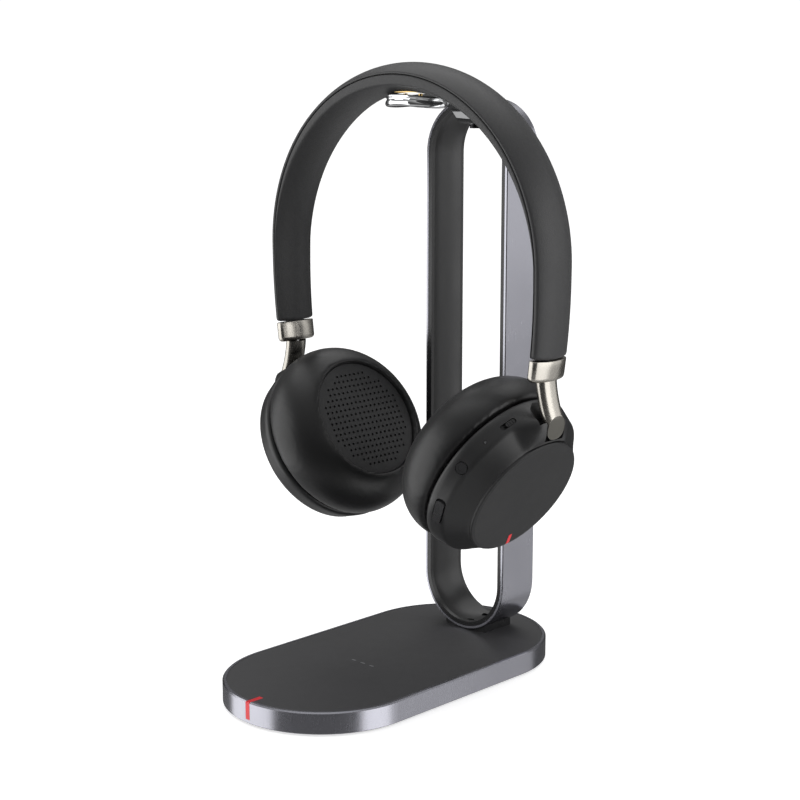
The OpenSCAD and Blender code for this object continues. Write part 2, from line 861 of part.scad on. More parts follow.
module main_board() {
    color("#1f5b3a") cup_frame() {
        translate([0, 0, 8.4]) difference() {
            cylinder(r = 22, h = 1);
            translate([-30, -13, -eps]) cube([14, 26, 2]);
        }
        translate([-9, -8, 9.4]) cube([9, 9, 1.2]);
        translate([4, 4, 9.4]) cube([7, 7, 1.4]);
        translate([6, -12, 9.4]) cube([5, 6, 1]);
    }
}

module mic_boom() {
    color("#242427") cup_frame() rotate([0, 0, boom_a]) difference() {
        translate([boom_in, -boom_w / 2, boom_z]) cube([boom_out - boom_in, boom_w, boom_t]);
        translate([stripe_from - snug, -stripe_w / 2 - snug, boom_z - eps])
            cube([8, stripe_w + 2 * snug, 6]);
    }
}

// Red stripe from the boom's end over the plate's edge and onto its face.
module boom_tip() {
    color("#c8202c") cup_frame() rotate([0, 0, boom_a]) translate([0, stripe_w / 2, 0])
        rotate([90, 0, 0]) linear_extrude(stripe_w)
        polygon([[stripe_from, boom_z], [30.9, boom_z], [26.8, plate_z - 2], [26.1, plate_z - 0.6],
            [24.6, plate_z + 0.1], [stripe_in, plate_z + 0.1], [stripe_in, plate_z - 0.6],
            [24.4, plate_z - 0.6], [25, plate_z - 1.9], [stripe_from, boom_z + 1.9]]);
}

module power_switch() {
    color("#3c3d40") cup_frame() on_rim(switch_a) translate([0, -switch_travel / 2, -1.6]) {
        linear_extrude(1.5) round_rect(switch_w, switch_l, 0.8);
        for (i = [-1, 0, 1])
            translate([0, i * 1.1, 1.5]) cube([1.2, 0.35, 0.5], center = true);
    }
}

module call_button() {
    color("#2f3033") cup_frame() on_rim(button_a) translate([0, 0, -1.5]) difference() {
        cylinder(d = button_d, h = 1.6);
        translate([0, 0, 1.5]) cylinder(d = 2.4, h = 1);
    }
}

// The rocker turns on a round barrel under its middle.
module volume_rocker() {
    color("#343538") cup_frame() on_rim(rocker_a) {
        translate([0, 0, -1.6]) linear_extrude(2.1) round_rect(rocker_w, rocker_l, 1.5);
        translate([-rocker_w / 2, 0, rocker_axis]) rotate([0, 90, 0]) cylinder(d = barrel_d, h = rocker_w);
    }
}

module status_light() {
    color("#d8dde0") cup_frame() on_rim(mic_hole_a) translate([0, 0, -1.7])
        cylinder(d = 0.8, h = 1.4);
}

// ---------- assembly ----------

foot_pad();
base_floor();
base_band();
base_top();
base_weight();
charging_coil();
coil_shield();
base_board();
usb_inlet();
base_tag();
indicator_leds();
base_screws();
loop_foot();
loop_band();
loop_lining_strip();
loop_bolts();
cradle();
cradle_screws();
contact_pins();
headband_cover();
headband_pad();
band_spring();
band_contacts();
side_of(-1) ferrule();  // left_ferrule
ferrule();  // right_ferrule
side_of(-1) slide_guide();  // left_slide_guide
slide_guide();  // right_slide_guide
side_of(-1) stem();  // left_stem
stem();  // right_stem
side_of(-1) arm();  // left_arm
arm();  // right_arm
side_of(-1) tilt_pin();  // left_tilt_pin
tilt_pin();  // right_tilt_pin
left_housing();
right_housing();
left_outer_plate();
right_outer_plate();
side_of(-1) baffle();  // left_baffle
baffle();  // right_baffle
side_of(-1) driver();  // left_driver
driver();  // right_driver
side_of(-1) cushion_ring();  // left_cushion_ring
cushion_ring();  // right_cushion_ring
side_of(-1) cushion();  // left_cushion
cushion();  // right_cushion
side_of(-1) speaker_cloth();  // left_speaker_cloth
speaker_cloth();  // right_speaker_cloth
side_of(-1) cup_screws();  // left_cup_screws
cup_screws();  // right_cup_screws
battery();
main_board();
mic_boom();
boom_tip();
power_switch();
call_button();
volume_rocker();
status_light();
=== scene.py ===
import json
import logging
import math
from collections.abc import Callable, Sequence
from dataclasses import dataclass, field
from enum import Enum

import bmesh
import bpy
from bpy.types import Material, Mesh, NodeSocket, Object
from mathutils import Matrix, Vector


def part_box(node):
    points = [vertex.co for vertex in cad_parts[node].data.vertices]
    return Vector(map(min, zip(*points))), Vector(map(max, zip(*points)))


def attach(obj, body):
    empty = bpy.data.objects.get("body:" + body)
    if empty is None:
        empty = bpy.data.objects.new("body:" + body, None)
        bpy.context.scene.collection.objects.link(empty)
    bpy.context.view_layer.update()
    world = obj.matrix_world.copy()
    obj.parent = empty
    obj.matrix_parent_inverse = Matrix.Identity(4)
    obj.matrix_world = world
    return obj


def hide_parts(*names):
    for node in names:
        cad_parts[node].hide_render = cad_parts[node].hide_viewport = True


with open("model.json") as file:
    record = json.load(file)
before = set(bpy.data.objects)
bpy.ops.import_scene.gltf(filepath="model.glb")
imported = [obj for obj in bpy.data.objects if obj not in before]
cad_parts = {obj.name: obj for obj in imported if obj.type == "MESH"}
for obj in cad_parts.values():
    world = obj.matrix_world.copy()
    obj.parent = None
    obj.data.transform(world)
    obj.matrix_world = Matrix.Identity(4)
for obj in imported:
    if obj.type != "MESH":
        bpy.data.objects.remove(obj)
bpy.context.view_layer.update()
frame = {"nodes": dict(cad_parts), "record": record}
MM = 0.001
LOG = logging.getLogger("headset")
BOOM_TURN = 10.6  # degrees that the microphone boom stands round the cup from straight down

Colour = tuple[float, float, float]
Point = tuple[float, float]
Triple = tuple[float, float, float]


class Side(Enum):
    """The two ear sides; the right one is at +X."""

    LEFT = -1
    RIGHT = 1

    @property
    def word(self) -> str:
        """The side's name as the nodes and bodies use it."""
        return self.name.lower()


# ---------------------------------------------------------------- finishes


class Grain:
    """The node tree of one material, with short calls for the patterns that a finish needs."""

    def __init__(self, name: str) -> None:
        """Starts a material with its shader and its coordinates on the piece.

        Args:
            name: The material's name.
        """
        self.material = bpy.data.materials.new(name)
        self.material.use_nodes = True
        tree = self.material.node_tree
        self.nodes, self.links = tree.nodes, tree.links
        self.shader = self.nodes["Principled BSDF"]
        self.place = self.nodes.new("ShaderNodeTexCoord").outputs["Object"]

    def feed(self, socket: NodeSocket, value: NodeSocket | float) -> None:
        """Links a socket to a value, or sets it when the value is a number.

        Args:
            socket: The socket.
            value: What it takes.
        """
        if isinstance(value, NodeSocket):
            self.links.new(value, socket)
        else:
            socket.default_value = value

    def stretched(self, stretch: Triple) -> NodeSocket:
        """Gives the piece's coordinates, stretched along each axis.

        Args:
            stretch: The share along X, Y and Z.

        Returns:
            The stretched coordinates.
        """
        node = self.nodes.new("ShaderNodeMapping")
        node.inputs["Scale"].default_value = stretch
        self.links.new(self.place, node.inputs["Vector"])
        return node.outputs["Vector"]

    def noise(self, scale: float, detail: float = 2.0, place: NodeSocket | None = None) -> NodeSocket:
        """Soft clouds.

        Args:
            scale: Clouds per metre.
            detail: How many finer layers lie over them.
            place: Other coordinates than the piece's own.

        Returns:
            A value from 0 to 1.
        """
        node = self.nodes.new("ShaderNodeTexNoise")
        node.inputs["Scale"].default_value = scale
        node.inputs["Detail"].default_value = detail
        self.links.new(place or self.place, node.inputs["Vector"])
        return node.outputs["Fac"]

    def cells(self, scale: float) -> NodeSocket:
        """Pebbles with creases between them.

        Args:
            scale: Pebbles per metre.

        Returns:
            The distance to the nearest crease.
        """
        node = self.nodes.new("ShaderNodeTexVoronoi")
        node.feature = "DISTANCE_TO_EDGE"
        node.inputs["Scale"].default_value = scale
        self.links.new(self.place, node.inputs["Vector"])
        return node.outputs["Distance"]

    def spread(self, value: NodeSocket, start: float, end: float, low: float, high: float) -> NodeSocket:
        """Maps a value from one span onto another, held inside.

        Args:
            value: The value.
            start: The first span's start.
            end: The first span's end.
            low: What the start becomes.
            high: What the end becomes.

        Returns:
            The mapped value.
        """
        node = self.nodes.new("ShaderNodeMapRange")
        self.links.new(value, node.inputs["Value"])
        for name, number in (("From Min", start), ("From Max", end), ("To Min", low), ("To Max", high)):
            node.inputs[name].default_value = number
        return node.outputs["Result"]

    def sum(self, first: NodeSocket, second: NodeSocket | float, operation: str = "ADD") -> NodeSocket:
        """Joins two values by arithmetic.

        Args:
            first: The first value.
            second: The second value or number.
            operation: The sum to do.

        Returns:
            The result.
        """
        node = self.nodes.new("ShaderNodeMath")
        node.operation = operation
        self.feed(node.inputs[0], first)
        self.feed(node.inputs[1], second)
        return node.outputs["Value"]

    def tint(self, value: NodeSocket, dark: Colour, light: Colour) -> NodeSocket:
        """Turns a value from 0 to 1 into a colour between two.

        Args:
            value: The value.
            dark: The colour at 0.
            light: The colour at 1.

        Returns:
            The colour.
        """
        node = self.nodes.new("ShaderNodeMix")
        node.data_type = "RGBA"
        self.links.new(value, node.inputs["Factor"])
        node.inputs[6].default_value = (*dark, 1.0)
        node.inputs[7].default_value = (*light, 1.0)
        return node.outputs[2]

    def raised_edges(self, start: float, end: float) -> NodeSocket:
        """Gives 1 on edges that stick out and 0 on flat ground."""
        node = self.nodes.new("ShaderNodeNewGeometry")
        return self.spread(node.outputs["Pointiness"], start, end, 0.0, 1.0)

    def bump(self, height: NodeSocket, depth: float, under: NodeSocket | None = None) -> NodeSocket:
        """Raises the surface by a pattern.

        Args:
            height: The pattern.
            depth: How far 1 in the pattern stands up, in metres.
            under: A bump that this one lies on.

        Returns:
            The bumped normal.
        """
        node = self.nodes.new("ShaderNodeBump")
        node.inputs["Strength"].default_value = 1.0
        node.inputs["Distance"].default_value = depth
        self.links.new(height, node.inputs["Height"])
        if under:
            self.links.new(under, node.inputs["Normal"])
        return node.outputs["Normal"]

    def set(self, **numbers: float) -> None:
        """Sets plain numbers on the shader's own sockets, named with _ for a space."""
        for name, number in numbers.items():
            self.shader.inputs[name.replace("_", " ")].default_value = number

    def close(
        self,
        colour: NodeSocket | None = None,
        rough: NodeSocket | None = None,
        normal: NodeSocket | None = None,
    ) -> Material:
        """Joins the patterns to the shader.

        Args:
            colour: The base colour.
            rough: The roughness.
            normal: The bumped normal.

        Returns:
            The material.
        """
        for name, value in (("Base Color", colour), ("Roughness", rough), ("Normal", normal)):
            if value:
                self.links.new(value, self.shader.inputs[name])
        return self.material


@dataclass(frozen=True)
class Finish:
    """A surface finish; slot is the record's name for it."""

    slot: str
    colour: Colour
    rough: float

    def lighter(self, share: float) -> Colour:
        """The finish's colour, made lighter or darker by a share."""
        return tuple(min(1.0, part * (1 + share)) for part in self.colour)

    def paint(self) -> Material:
        """Builds the material."""
        raise NotImplementedError


@dataclass(frozen=True)
class MouldedPlastic(Finish):
    """Plastic with a spark-eroded grain, a little shinier along its raised edges, which are also painted
    lighter: a painted edge highlight.
    """

    grain: float = 9000.0
    depth: float = 0.000012
    specular: float = 0.5
    coat: float = 0.0

    def paint(self) -> Material:
        """Builds the material.

        Returns:
            The material.
        """
        tree = Grain(self.slot)
        broad = tree.noise(60.0, 3.0)
        fine = tree.noise(self.grain, 2.0)
        # Raised edges are painted lighter in colour, a painted highlight along the edges; they are also made
        # a little less rough.
        edge_highlight = tree.raised_edges(0.53, 0.62)
        mottle_and_edge_highlight = tree.sum(tree.sum(broad, 0.7, "MULTIPLY"), tree.sum(edge_highlight, 0.5, "MULTIPLY"))
        colour = tree.tint(mottle_and_edge_highlight, self.lighter(-0.12), self.lighter(0.22))
        rough = tree.sum(
            tree.spread(broad, 0.3, 0.7, self.rough - 0.05, self.rough + 0.05),
            tree.sum(edge_highlight, 0.08, "MULTIPLY"),
            "SUBTRACT",
        )
        tree.set(Specular_IOR_Level=self.specular, Coat_Weight=self.coat, Coat_Roughness=0.35)
        return tree.close(colour, rough, tree.bump(fine, self.depth))


@dataclass(frozen=True)
class Leatherette(Finish):
    """Soft coated leathercloth: small pebbles, fine pores and a slow waviness."""

    pebble: float = 1500.0
    depth: float = 0.00004
    sheen: float = 0.1
    waves: float = 0.00018

    def paint(self) -> Material:
        """Builds the material.

        Returns:
            The material.
        """
        tree = Grain(self.slot)
        crease = tree.spread(tree.cells(self.pebble), 0.0, 0.22, 0.0, 1.0)
        pores = tree.noise(7000.0, 2.0)
        slow = tree.noise(45.0, 2.0)
        height = tree.sum(crease, tree.sum(pores, 0.5, "MULTIPLY"))
        normal = tree.bump(height, self.depth, tree.bump(slow, self.waves))
        tone = tree.sum(tree.sum(crease, 0.6, "MULTIPLY"), tree.sum(slow, 0.4, "MULTIPLY"))
        colour = tree.tint(tone, self.lighter(-0.25), self.lighter(0.12))
        rough = tree.spread(tone, 0.1, 0.9, self.rough + 0.08, self.rough - 0.05)
        tree.set(Sheen_Weight=self.sheen, Sheen_Roughness=0.45, Specular_IOR_Level=0.45)
        return tree.close(colour, rough, normal)


@dataclass(frozen=True)
class Metal(Finish):
    """Metal with a satin lay along one axis, or polished where the lay is faint."""

    lay: Triple = (1.0, 1.0, 1.0)
    depth: float = 0.000002
    uneven: float = 0.05
    scratches: float = 3000.0

    def paint(self) -> Material:
        """Builds the material.

        Returns:
            The material.
        """
        tree = Grain(self.slot)
        lay = tree.noise(self.scratches, 3.0, tree.stretched(self.lay))
        slow = tree.noise(35.0, 2.0)
        # Raised edges are painted lighter in colour, a painted highlight along the edges, mixed with random
        # slow tone.
        edge_highlight = tree.raised_edges(0.52, 0.6)
        tone = tree.sum(slow, tree.sum(edge_highlight, 0.5, "MULTIPLY"))
        colour = tree.tint(tone, self.lighter(-0.06), self.lighter(0.1))
        mixed = tree.sum(tree.sum(lay, 0.5, "MULTIPLY"), tree.sum(slow, 0.5, "MULTIPLY"))
        rough = tree.spread(mixed, 0.3, 0.7, self.rough - self.uneven, self.rough + self.uneven)
        tree.set(Metallic=1.0)
        return tree.close(colour, rough, tree.bump(lay, self.depth))


@dataclass(frozen=True)
class BoardLacquer(Finish):
    """Circuit board lacquer over faint tracks."""

    def paint(self) -> Material:
        """Builds the material.

        Returns:
            The material.
        """
        tree = Grain(self.slot)
        tracks = tree.spread(tree.cells(900.0), 0.02, 0.06, 1.0, 0.0)
        colour = tree.tint(tracks, self.colour, self.lighter(0.8))
        rough = tree.spread(tracks, 0.0, 1.0, self.rough, self.rough + 0.1)
        return tree.close(colour, rough, tree.bump(tracks, 0.00002))


@dataclass(frozen=True)
class ClearPipe(Finish):
    """Milky light pipe that is dark while it is off."""

    def paint(self) -> Material:
        """Builds the material.

        Returns:
            The material.
        """
        tree = Grain(self.slot)
        cloud = tree.noise(1500.0, 2.0)
        tree.set(Transmission_Weight=0.25, Coat_Weight=0.3, Coat_Roughness=0.2)
        colour = tree.tint(cloud, self.lighter(-0.15), self.lighter(0.15))
        return tree.close(colour, tree.spread(cloud, 0.3, 0.7, self.rough - 0.05, self.rough + 0.08))


FINISHES: dict[str, Finish] = {
    made.slot: made
    for made in (
        MouldedPlastic("foot_rubber", (0.012, 0.012, 0.013), 0.8, 5000.0, 0.00003, 0.3),
        MouldedPlastic("base_plastic", (0.02, 0.02, 0.022), 0.55),
        Metal("gunmetal", (0.36, 0.36, 0.40), 0.24, (1.0, 1.0, 0.06), 0.0000008),
        MouldedPlastic("soft_black", (0.042, 0.042, 0.044), 0.6, 11000.0, 0.000008, 0.4),
        Metal("plain_steel", (0.5, 0.5, 0.5), 0.3, (1.0, 1.0, 0.1)),
        Metal("copper_wire", (0.75, 0.36, 0.16), 0.3),
        MouldedPlastic("ferrite", (0.03, 0.03, 0.031), 0.6),
        BoardLacquer("circuit_board", (0.01, 0.09, 0.035), 0.35),
        Metal("inlet_steel", (0.55, 0.55, 0.57), 0.25, (0.1, 1.0, 1.0)),
        MouldedPlastic("red_accent", (0.6, 0.012, 0.02), 0.4, 6000.0, 0.000006, 0.5),
        ClearPipe("light_pipe", (0.2, 0.2, 0.21), 0.3),
        Metal("screw_steel", (0.03, 0.03, 0.032), 0.35),
        MouldedPlastic("loop_black", (0.012, 0.012, 0.0128), 0.34, 11000.0, 0.000005, 0.5),
        Metal("bright_chrome", (0.86, 0.87, 0.88), 0.07, (1.0, 1.0, 1.0), 0.0000004, 0.02, 400.0),
        Metal("gold_contact", (0.85, 0.6, 0.25), 0.2),
        Leatherette("sleeve_leatherette", (0.025, 0.025, 0.0262), 0.42, 1500.0, 0.000022, 0.08),
        Leatherette("pad_leatherette", (0.024, 0.024, 0.025), 0.45, 1300.0, 0.000022, 0.06),
        Metal("satin_nickel", (0.47, 0.447, 0.405), 0.27, (1.0, 1.0, 0.05), 0.0000008),
        Metal("sawn_nickel", (0.15, 0.145, 0.13), 0.5, (1.0, 0.2, 1.0), 0.000004),
        Metal("battery_foil", (0.6, 0.62, 0.65), 0.35),
        MouldedPlastic("control_plastic", (0.014, 0.014, 0.015), 0.36, 9000.0, 0.000005),
        MouldedPlastic("cup_plastic", (0.0125, 0.0125, 0.013), 0.4, 10000.0, 0.000006, 0.5),
        MouldedPlastic("plate_plastic", (0.0135, 0.0135, 0.0142), 0.52, 9000.0, 0.000008, 0.42),
        Metal("driver_metal", (0.55, 0.55, 0.53), 0.35),
        Leatherette("cushion_leatherette", (0.008, 0.008, 0.0085), 0.36, 1700.0, 0.00001, 0.04, 0.0001),
        Leatherette("perforated_cloth", (0.02, 0.02, 0.021), 0.5, 1700.0, 0.000014, 0.06, 0.00005),
    )
}
PAINTED: dict[str, Material] = {}


def paint_of(slot: str) -> Material:
    """Gives the material of a finish, built once.

    Args:
        slot: The finish's name in the record.

    Returns:
        The material.
    """
    if slot not in PAINTED:
        PAINTED[slot] = FINISHES[slot].paint()
    return PAINTED[slot]


# ---------------------------------------------------------------- mesh making


def piece_of(name: str, mesh: Mesh, slot: str, smooth: float | None = 35.0) -> Object:
    """Makes an object of a mesh and dresses it.

    Args:
        name: The piece's name.
        mesh: Its mesh, in metres in the shared frame.
        slot: Its finish.
        smooth: The angle in degrees above which an edge stays sharp, or None for flat faces.

    Returns:
        The object, linked to the scene.
    """
    mesh.materials.clear()
    mesh.materials.append(paint_of(slot))
    if smooth is not None:
        mesh.shade_smooth()
        mesh.set_sharp_from_angle(angle=math.radians(smooth))
    made = bpy.data.objects.new(name, mesh)
    bpy.context.scene.collection.objects.link(made)
    return made


def mesh_of(name: str, points: Sequence[Vector], faces: Sequence[Sequence[int]]) -> Mesh:
    """Makes a mesh with its faces turned outwards.

    Args:
        name: The mesh's name.
        points: Its vertices.
        faces: Its faces.

    Returns:
        The mesh.
    """
    mesh = bpy.data.meshes.new(name)
    mesh.from_pydata([tuple(point) for point in points], [], [tuple(face) for face in faces])
    made = bmesh.new()
    made.from_mesh(mesh)
    bmesh.ops.recalc_face_normals(made, faces=made.faces)
    made.to_mesh(mesh)
    made.free()
    return mesh


def lofted(name: str, rings: Sequence[Sequence[Vector]], round_again: bool = False) -> Mesh:
    """Joins closed rings of equal length into a skin.

    Args:
        name: The mesh's name.
        rings: The rings, each with the same number of points.
        round_again: Whether the last ring joins the first, instead of both ends being capped.

    Returns:
        The mesh.
    """
    count, size = len(rings), len(rings[0])
    points = [point for ring in rings for point in ring]
    faces: list[list[int]] = []
    for i in range(count if round_again else count - 1):
        here, there = i * size, (i + 1) % count * size
        faces += [[here + j, here + (j + 1) % size, there + (j + 1) % size, there + j] for j in range(size)]
    if not round_again:
        faces += [list(range(size)), list(range((count - 1) * size, count * size))]
    return mesh_of(name, points, faces)


def filleted(corners: Sequence[Triple], steps: int = 4) -> list[Point]:
    """Rounds the corners of an outline.

    Args:
        corners: (x, y, radius) of each corner.
        steps: How many parts each rounding has.

    Returns:
        The outline's points, steps + 1 for each corner that has a radius.
    """
    made: list[Point] = []
    count = len(corners)
    for i, (x, y, radius) in enumerate(corners):
        at = Vector((x, y))
        if radius <= 0:
            made.append((x, y))
            continue
        back = Vector(corners[i - 1][:2]) - at
        ahead = Vector(corners[(i + 1) % count][:2]) - at
        half = back.angle(ahead, math.pi) / 2
        reach = min(radius / max(math.tan(half), 0.01), 0.48 * back.length, 0.48 * ahead.length)
        start, end = at + back.normalized() * reach, at + ahead.normalized() * reach
        for k in range(steps + 1):
            share = k / steps
            bent = start * (1 - share) ** 2 + at * 2 * share * (1 - share) + end * share**2
            made.append((bent.x, bent.y))
    return made


def eased(share: float) -> float:
    """Bends a share from 0 to 1 so that it starts and ends level."""
    return share * share * (3 - 2 * share)


def arc_points(centre: Point, radius: float, start: float, end: float, steps: int) -> list[Triple]:
    """Points along an arc, as outline corners without a radius.

    Args:
        centre: The arc's centre.
        radius: Its radius.
        start: The angle it starts at, in degrees.
        end: The angle it ends at.
        steps: How many parts it has.

    Returns:
        Its points, steps + 1 of them.
    """
    angles = [math.radians(start + (end - start) * k / steps) for k in range(steps + 1)]
    return [(centre[0] + radius * math.cos(a), centre[1] + radius * math.sin(a), 0.0) for a in angles]


def shift(x: float, y: float, z: float) -> Matrix:
    """A move by x, y and z in millimetres."""
    return Matrix.Translation(Vector((x, y, z)) * MM)


def turned(name: str, outline: Sequence[Point], place: Matrix, parts: int = 160) -> Mesh:
    """Turns a closed outline of (radius, height) in millimetres into a ring.

    Args:
        name: The mesh's name.
        outline: The outline.
        place: The turning axis as local Z, in metres.
        parts: How many parts the turn has.

    Returns:
        The mesh.
    """
    rings = []
    for i in range(parts):
        a = 2 * math.pi * i / parts
        rings.append([place @ (Vector((r * math.cos(a), r * math.sin(a), z)) * MM) for r, z in outline])
    return lofted(name, rings, round_again=True)


def carved(made: Object, cutters: Sequence[Mesh]) -> Object:
    """Cuts solids out of a piece.

    Args:
        made: The piece.
        cutters: The solids, each closed.

    Returns:
        The piece with its cut mesh.
    """
    for i, cutter in enumerate(cutters):
        tool = bpy.data.objects.new(f"{made.name}_tool_{i}", cutter)
        bpy.context.scene.collection.objects.link(tool)
        cut = made.modifiers.new("cut", "BOOLEAN")
        cut.operation, cut.solver, cut.object = "DIFFERENCE", "EXACT", tool
        settled(made)
        bpy.data.objects.remove(tool)
    return made


def rounded_bar(name: str, size: Triple, corner: float, place: Matrix, steps: int = 6) -> Mesh:
    """Makes a bar with rounded long edges, centred on its place, its length along local Z.

    Args:
        name: The mesh's name.
        size: Its two widths and its length, in millimetres.
        corner: The radius of its long edges.
        place: Its place, in metres.
        steps: How many parts each rounding has.

    Returns:
        The mesh.
    """
    x, y, half = size[0] / 2, size[1] / 2, size[2] / 2
    outline = filleted([(x, y, corner), (-x, y, corner), (-x, -y, corner), (x, -y, corner)], steps)
    return lofted(name, [[place @ (Vector((u, v, z)) * MM) for u, v in outline] for z in (-half, half)])


def settled(made: Object) -> Object:
    """Applies all modifiers of a piece.

    Args:
        made: The piece.

    Returns:
        The piece, with no modifier left on it.
    """
    bpy.context.view_layer.update()
    seen = made.evaluated_get(bpy.context.evaluated_depsgraph_get())
    mesh = bpy.data.meshes.new_from_object(seen)
    made.modifiers.clear()
    made.data = mesh
    return made


def refined(made: Object) -> Object:
    """Divides a piece's faces once more, smoothly, and keeps the result.

    Args:
        made: The piece.

    Returns:
        The piece with its finer mesh.
    """
    fine = made.modifiers.new("fine", "SUBSURF")
    fine.levels = fine.render_levels = 1
    return settled(made)


def puffed(
    made: Object,
    voxel: float,
    cap: float,
    held: Callable[[Vector], bool],
    pressure: float = 4.0,
    last: int = 20,
) -> Object:
    """Lets a padded piece swell like filled cloth, and keeps the result.

    Args:
        made: The piece, a little smaller than it ends.
        voxel: The remesh size in metres.
        cap: The furthest that a point may move, in metres.
        held: Says which points are glued down.
        pressure: The filling's pressure.
        last: The frame that the swelling ends on.

    Returns:
        The piece with its swollen mesh.
    """
    remesh = made.modifiers.new("even", "REMESH")
    remesh.mode, remesh.voxel_size = "VOXEL", voxel
    settled(made)
    starts = [vertex.co.copy() for vertex in made.data.vertices]
    glued = made.vertex_groups.new(name="glued")
    glued.add([i for i, co in enumerate(starts) if held(co)], 1.0, "REPLACE")
    cloth = made.modifiers.new("filling", "CLOTH")
    rules = cloth.settings
    rules.quality, rules.mass, rules.use_pressure = 4, 0.2, True
    rules.uniform_pressure_force = pressure
    rules.tension_stiffness = rules.compression_stiffness = 12.0
    rules.bending_stiffness = 0.4
    rules.vertex_group_mass = "glued"
    rules.effector_weights.gravity = 0.0
    cloth.point_cache.frame_start, cloth.point_cache.frame_end = 1, last
    for step in range(1, last + 1):
        bpy.context.scene.frame_set(step)
    seen = made.evaluated_get(bpy.context.evaluated_depsgraph_get())
    ends = [vertex.co.copy() for vertex in seen.data.vertices]
    made.modifiers.clear()
    bpy.context.scene.frame_set(1)
    for vertex, start, end in zip(made.data.vertices, starts, ends):
        moved = end - start
        if moved.length > cap:
            moved *= cap / moved.length
        vertex.co = start + moved
    even = made.modifiers.new("ease", "SMOOTH")
    even.factor, even.iterations = 0.5, 4
    return refined(made)


# ---------------------------------------------------------------- sub-assemblies


@dataclass
class SubAssembly:
    """A group of pieces that belong together and are built and dressed together."""

    made: list[Object] = field(default_factory=list, init=False)

    def dress(self, *nodes: str) -> None:
        """Puts each CAD node's own finish on it."""
        for name in nodes:
            node = frame["nodes"][name]
            for place in node.material_slots:
                place.material = paint_of(SLOT_OF[name])
            LOG.info("dressed %s as %s", name, SLOT_OF[name])

    def hand_in(self, made: Object, body: str, *nodes: str, slot: str | None = None) -> Object:
        """Fixes a new piece to its body and hides the CAD nodes that it stands for.

        Args:
            made: The piece.
            body: The body that it rides on.
            *nodes: The CAD nodes that it replaces.
            slot: Its finish, where it replaces nothing; not used.

        Returns:
            The piece.
        """
        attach(made, body)
        if nodes:
            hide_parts(*nodes)
        self.made.append(made)
        LOG.info("made %s with %d faces on %s", made.name, len(made.data.polygons), body)
        return made

    def build(self) -> None:
        """Builds every piece of the group."""
        raise NotImplementedError


SLOT_OF: dict[str, str] = {row["node"]: row["material_slot"] for row in frame["record"]["subparts"]}


@dataclass
class StandBase(SubAssembly):
    """The flat racetrack base with its metal band, its lights and its red tag."""

    def build(self) -> None:
        """Builds every piece of the group."""
        self.dress(
            "foot_pad", "base_floor", "base_band", "base_top", "base_weight", "charging_coil", "coil_shield",
            "base_board", "usb_inlet", "base_tag", "indicator_leds", "base_screws",
        )


@dataclass
class StandLoop(SubAssembly):
    """The upright loop: metal outside, black channel inside."""

    def build(self) -> None:
        """Builds every piece of the group."""
        self.dress("loop_foot", "loop_band", "loop_lining_strip", "loop_bolts")


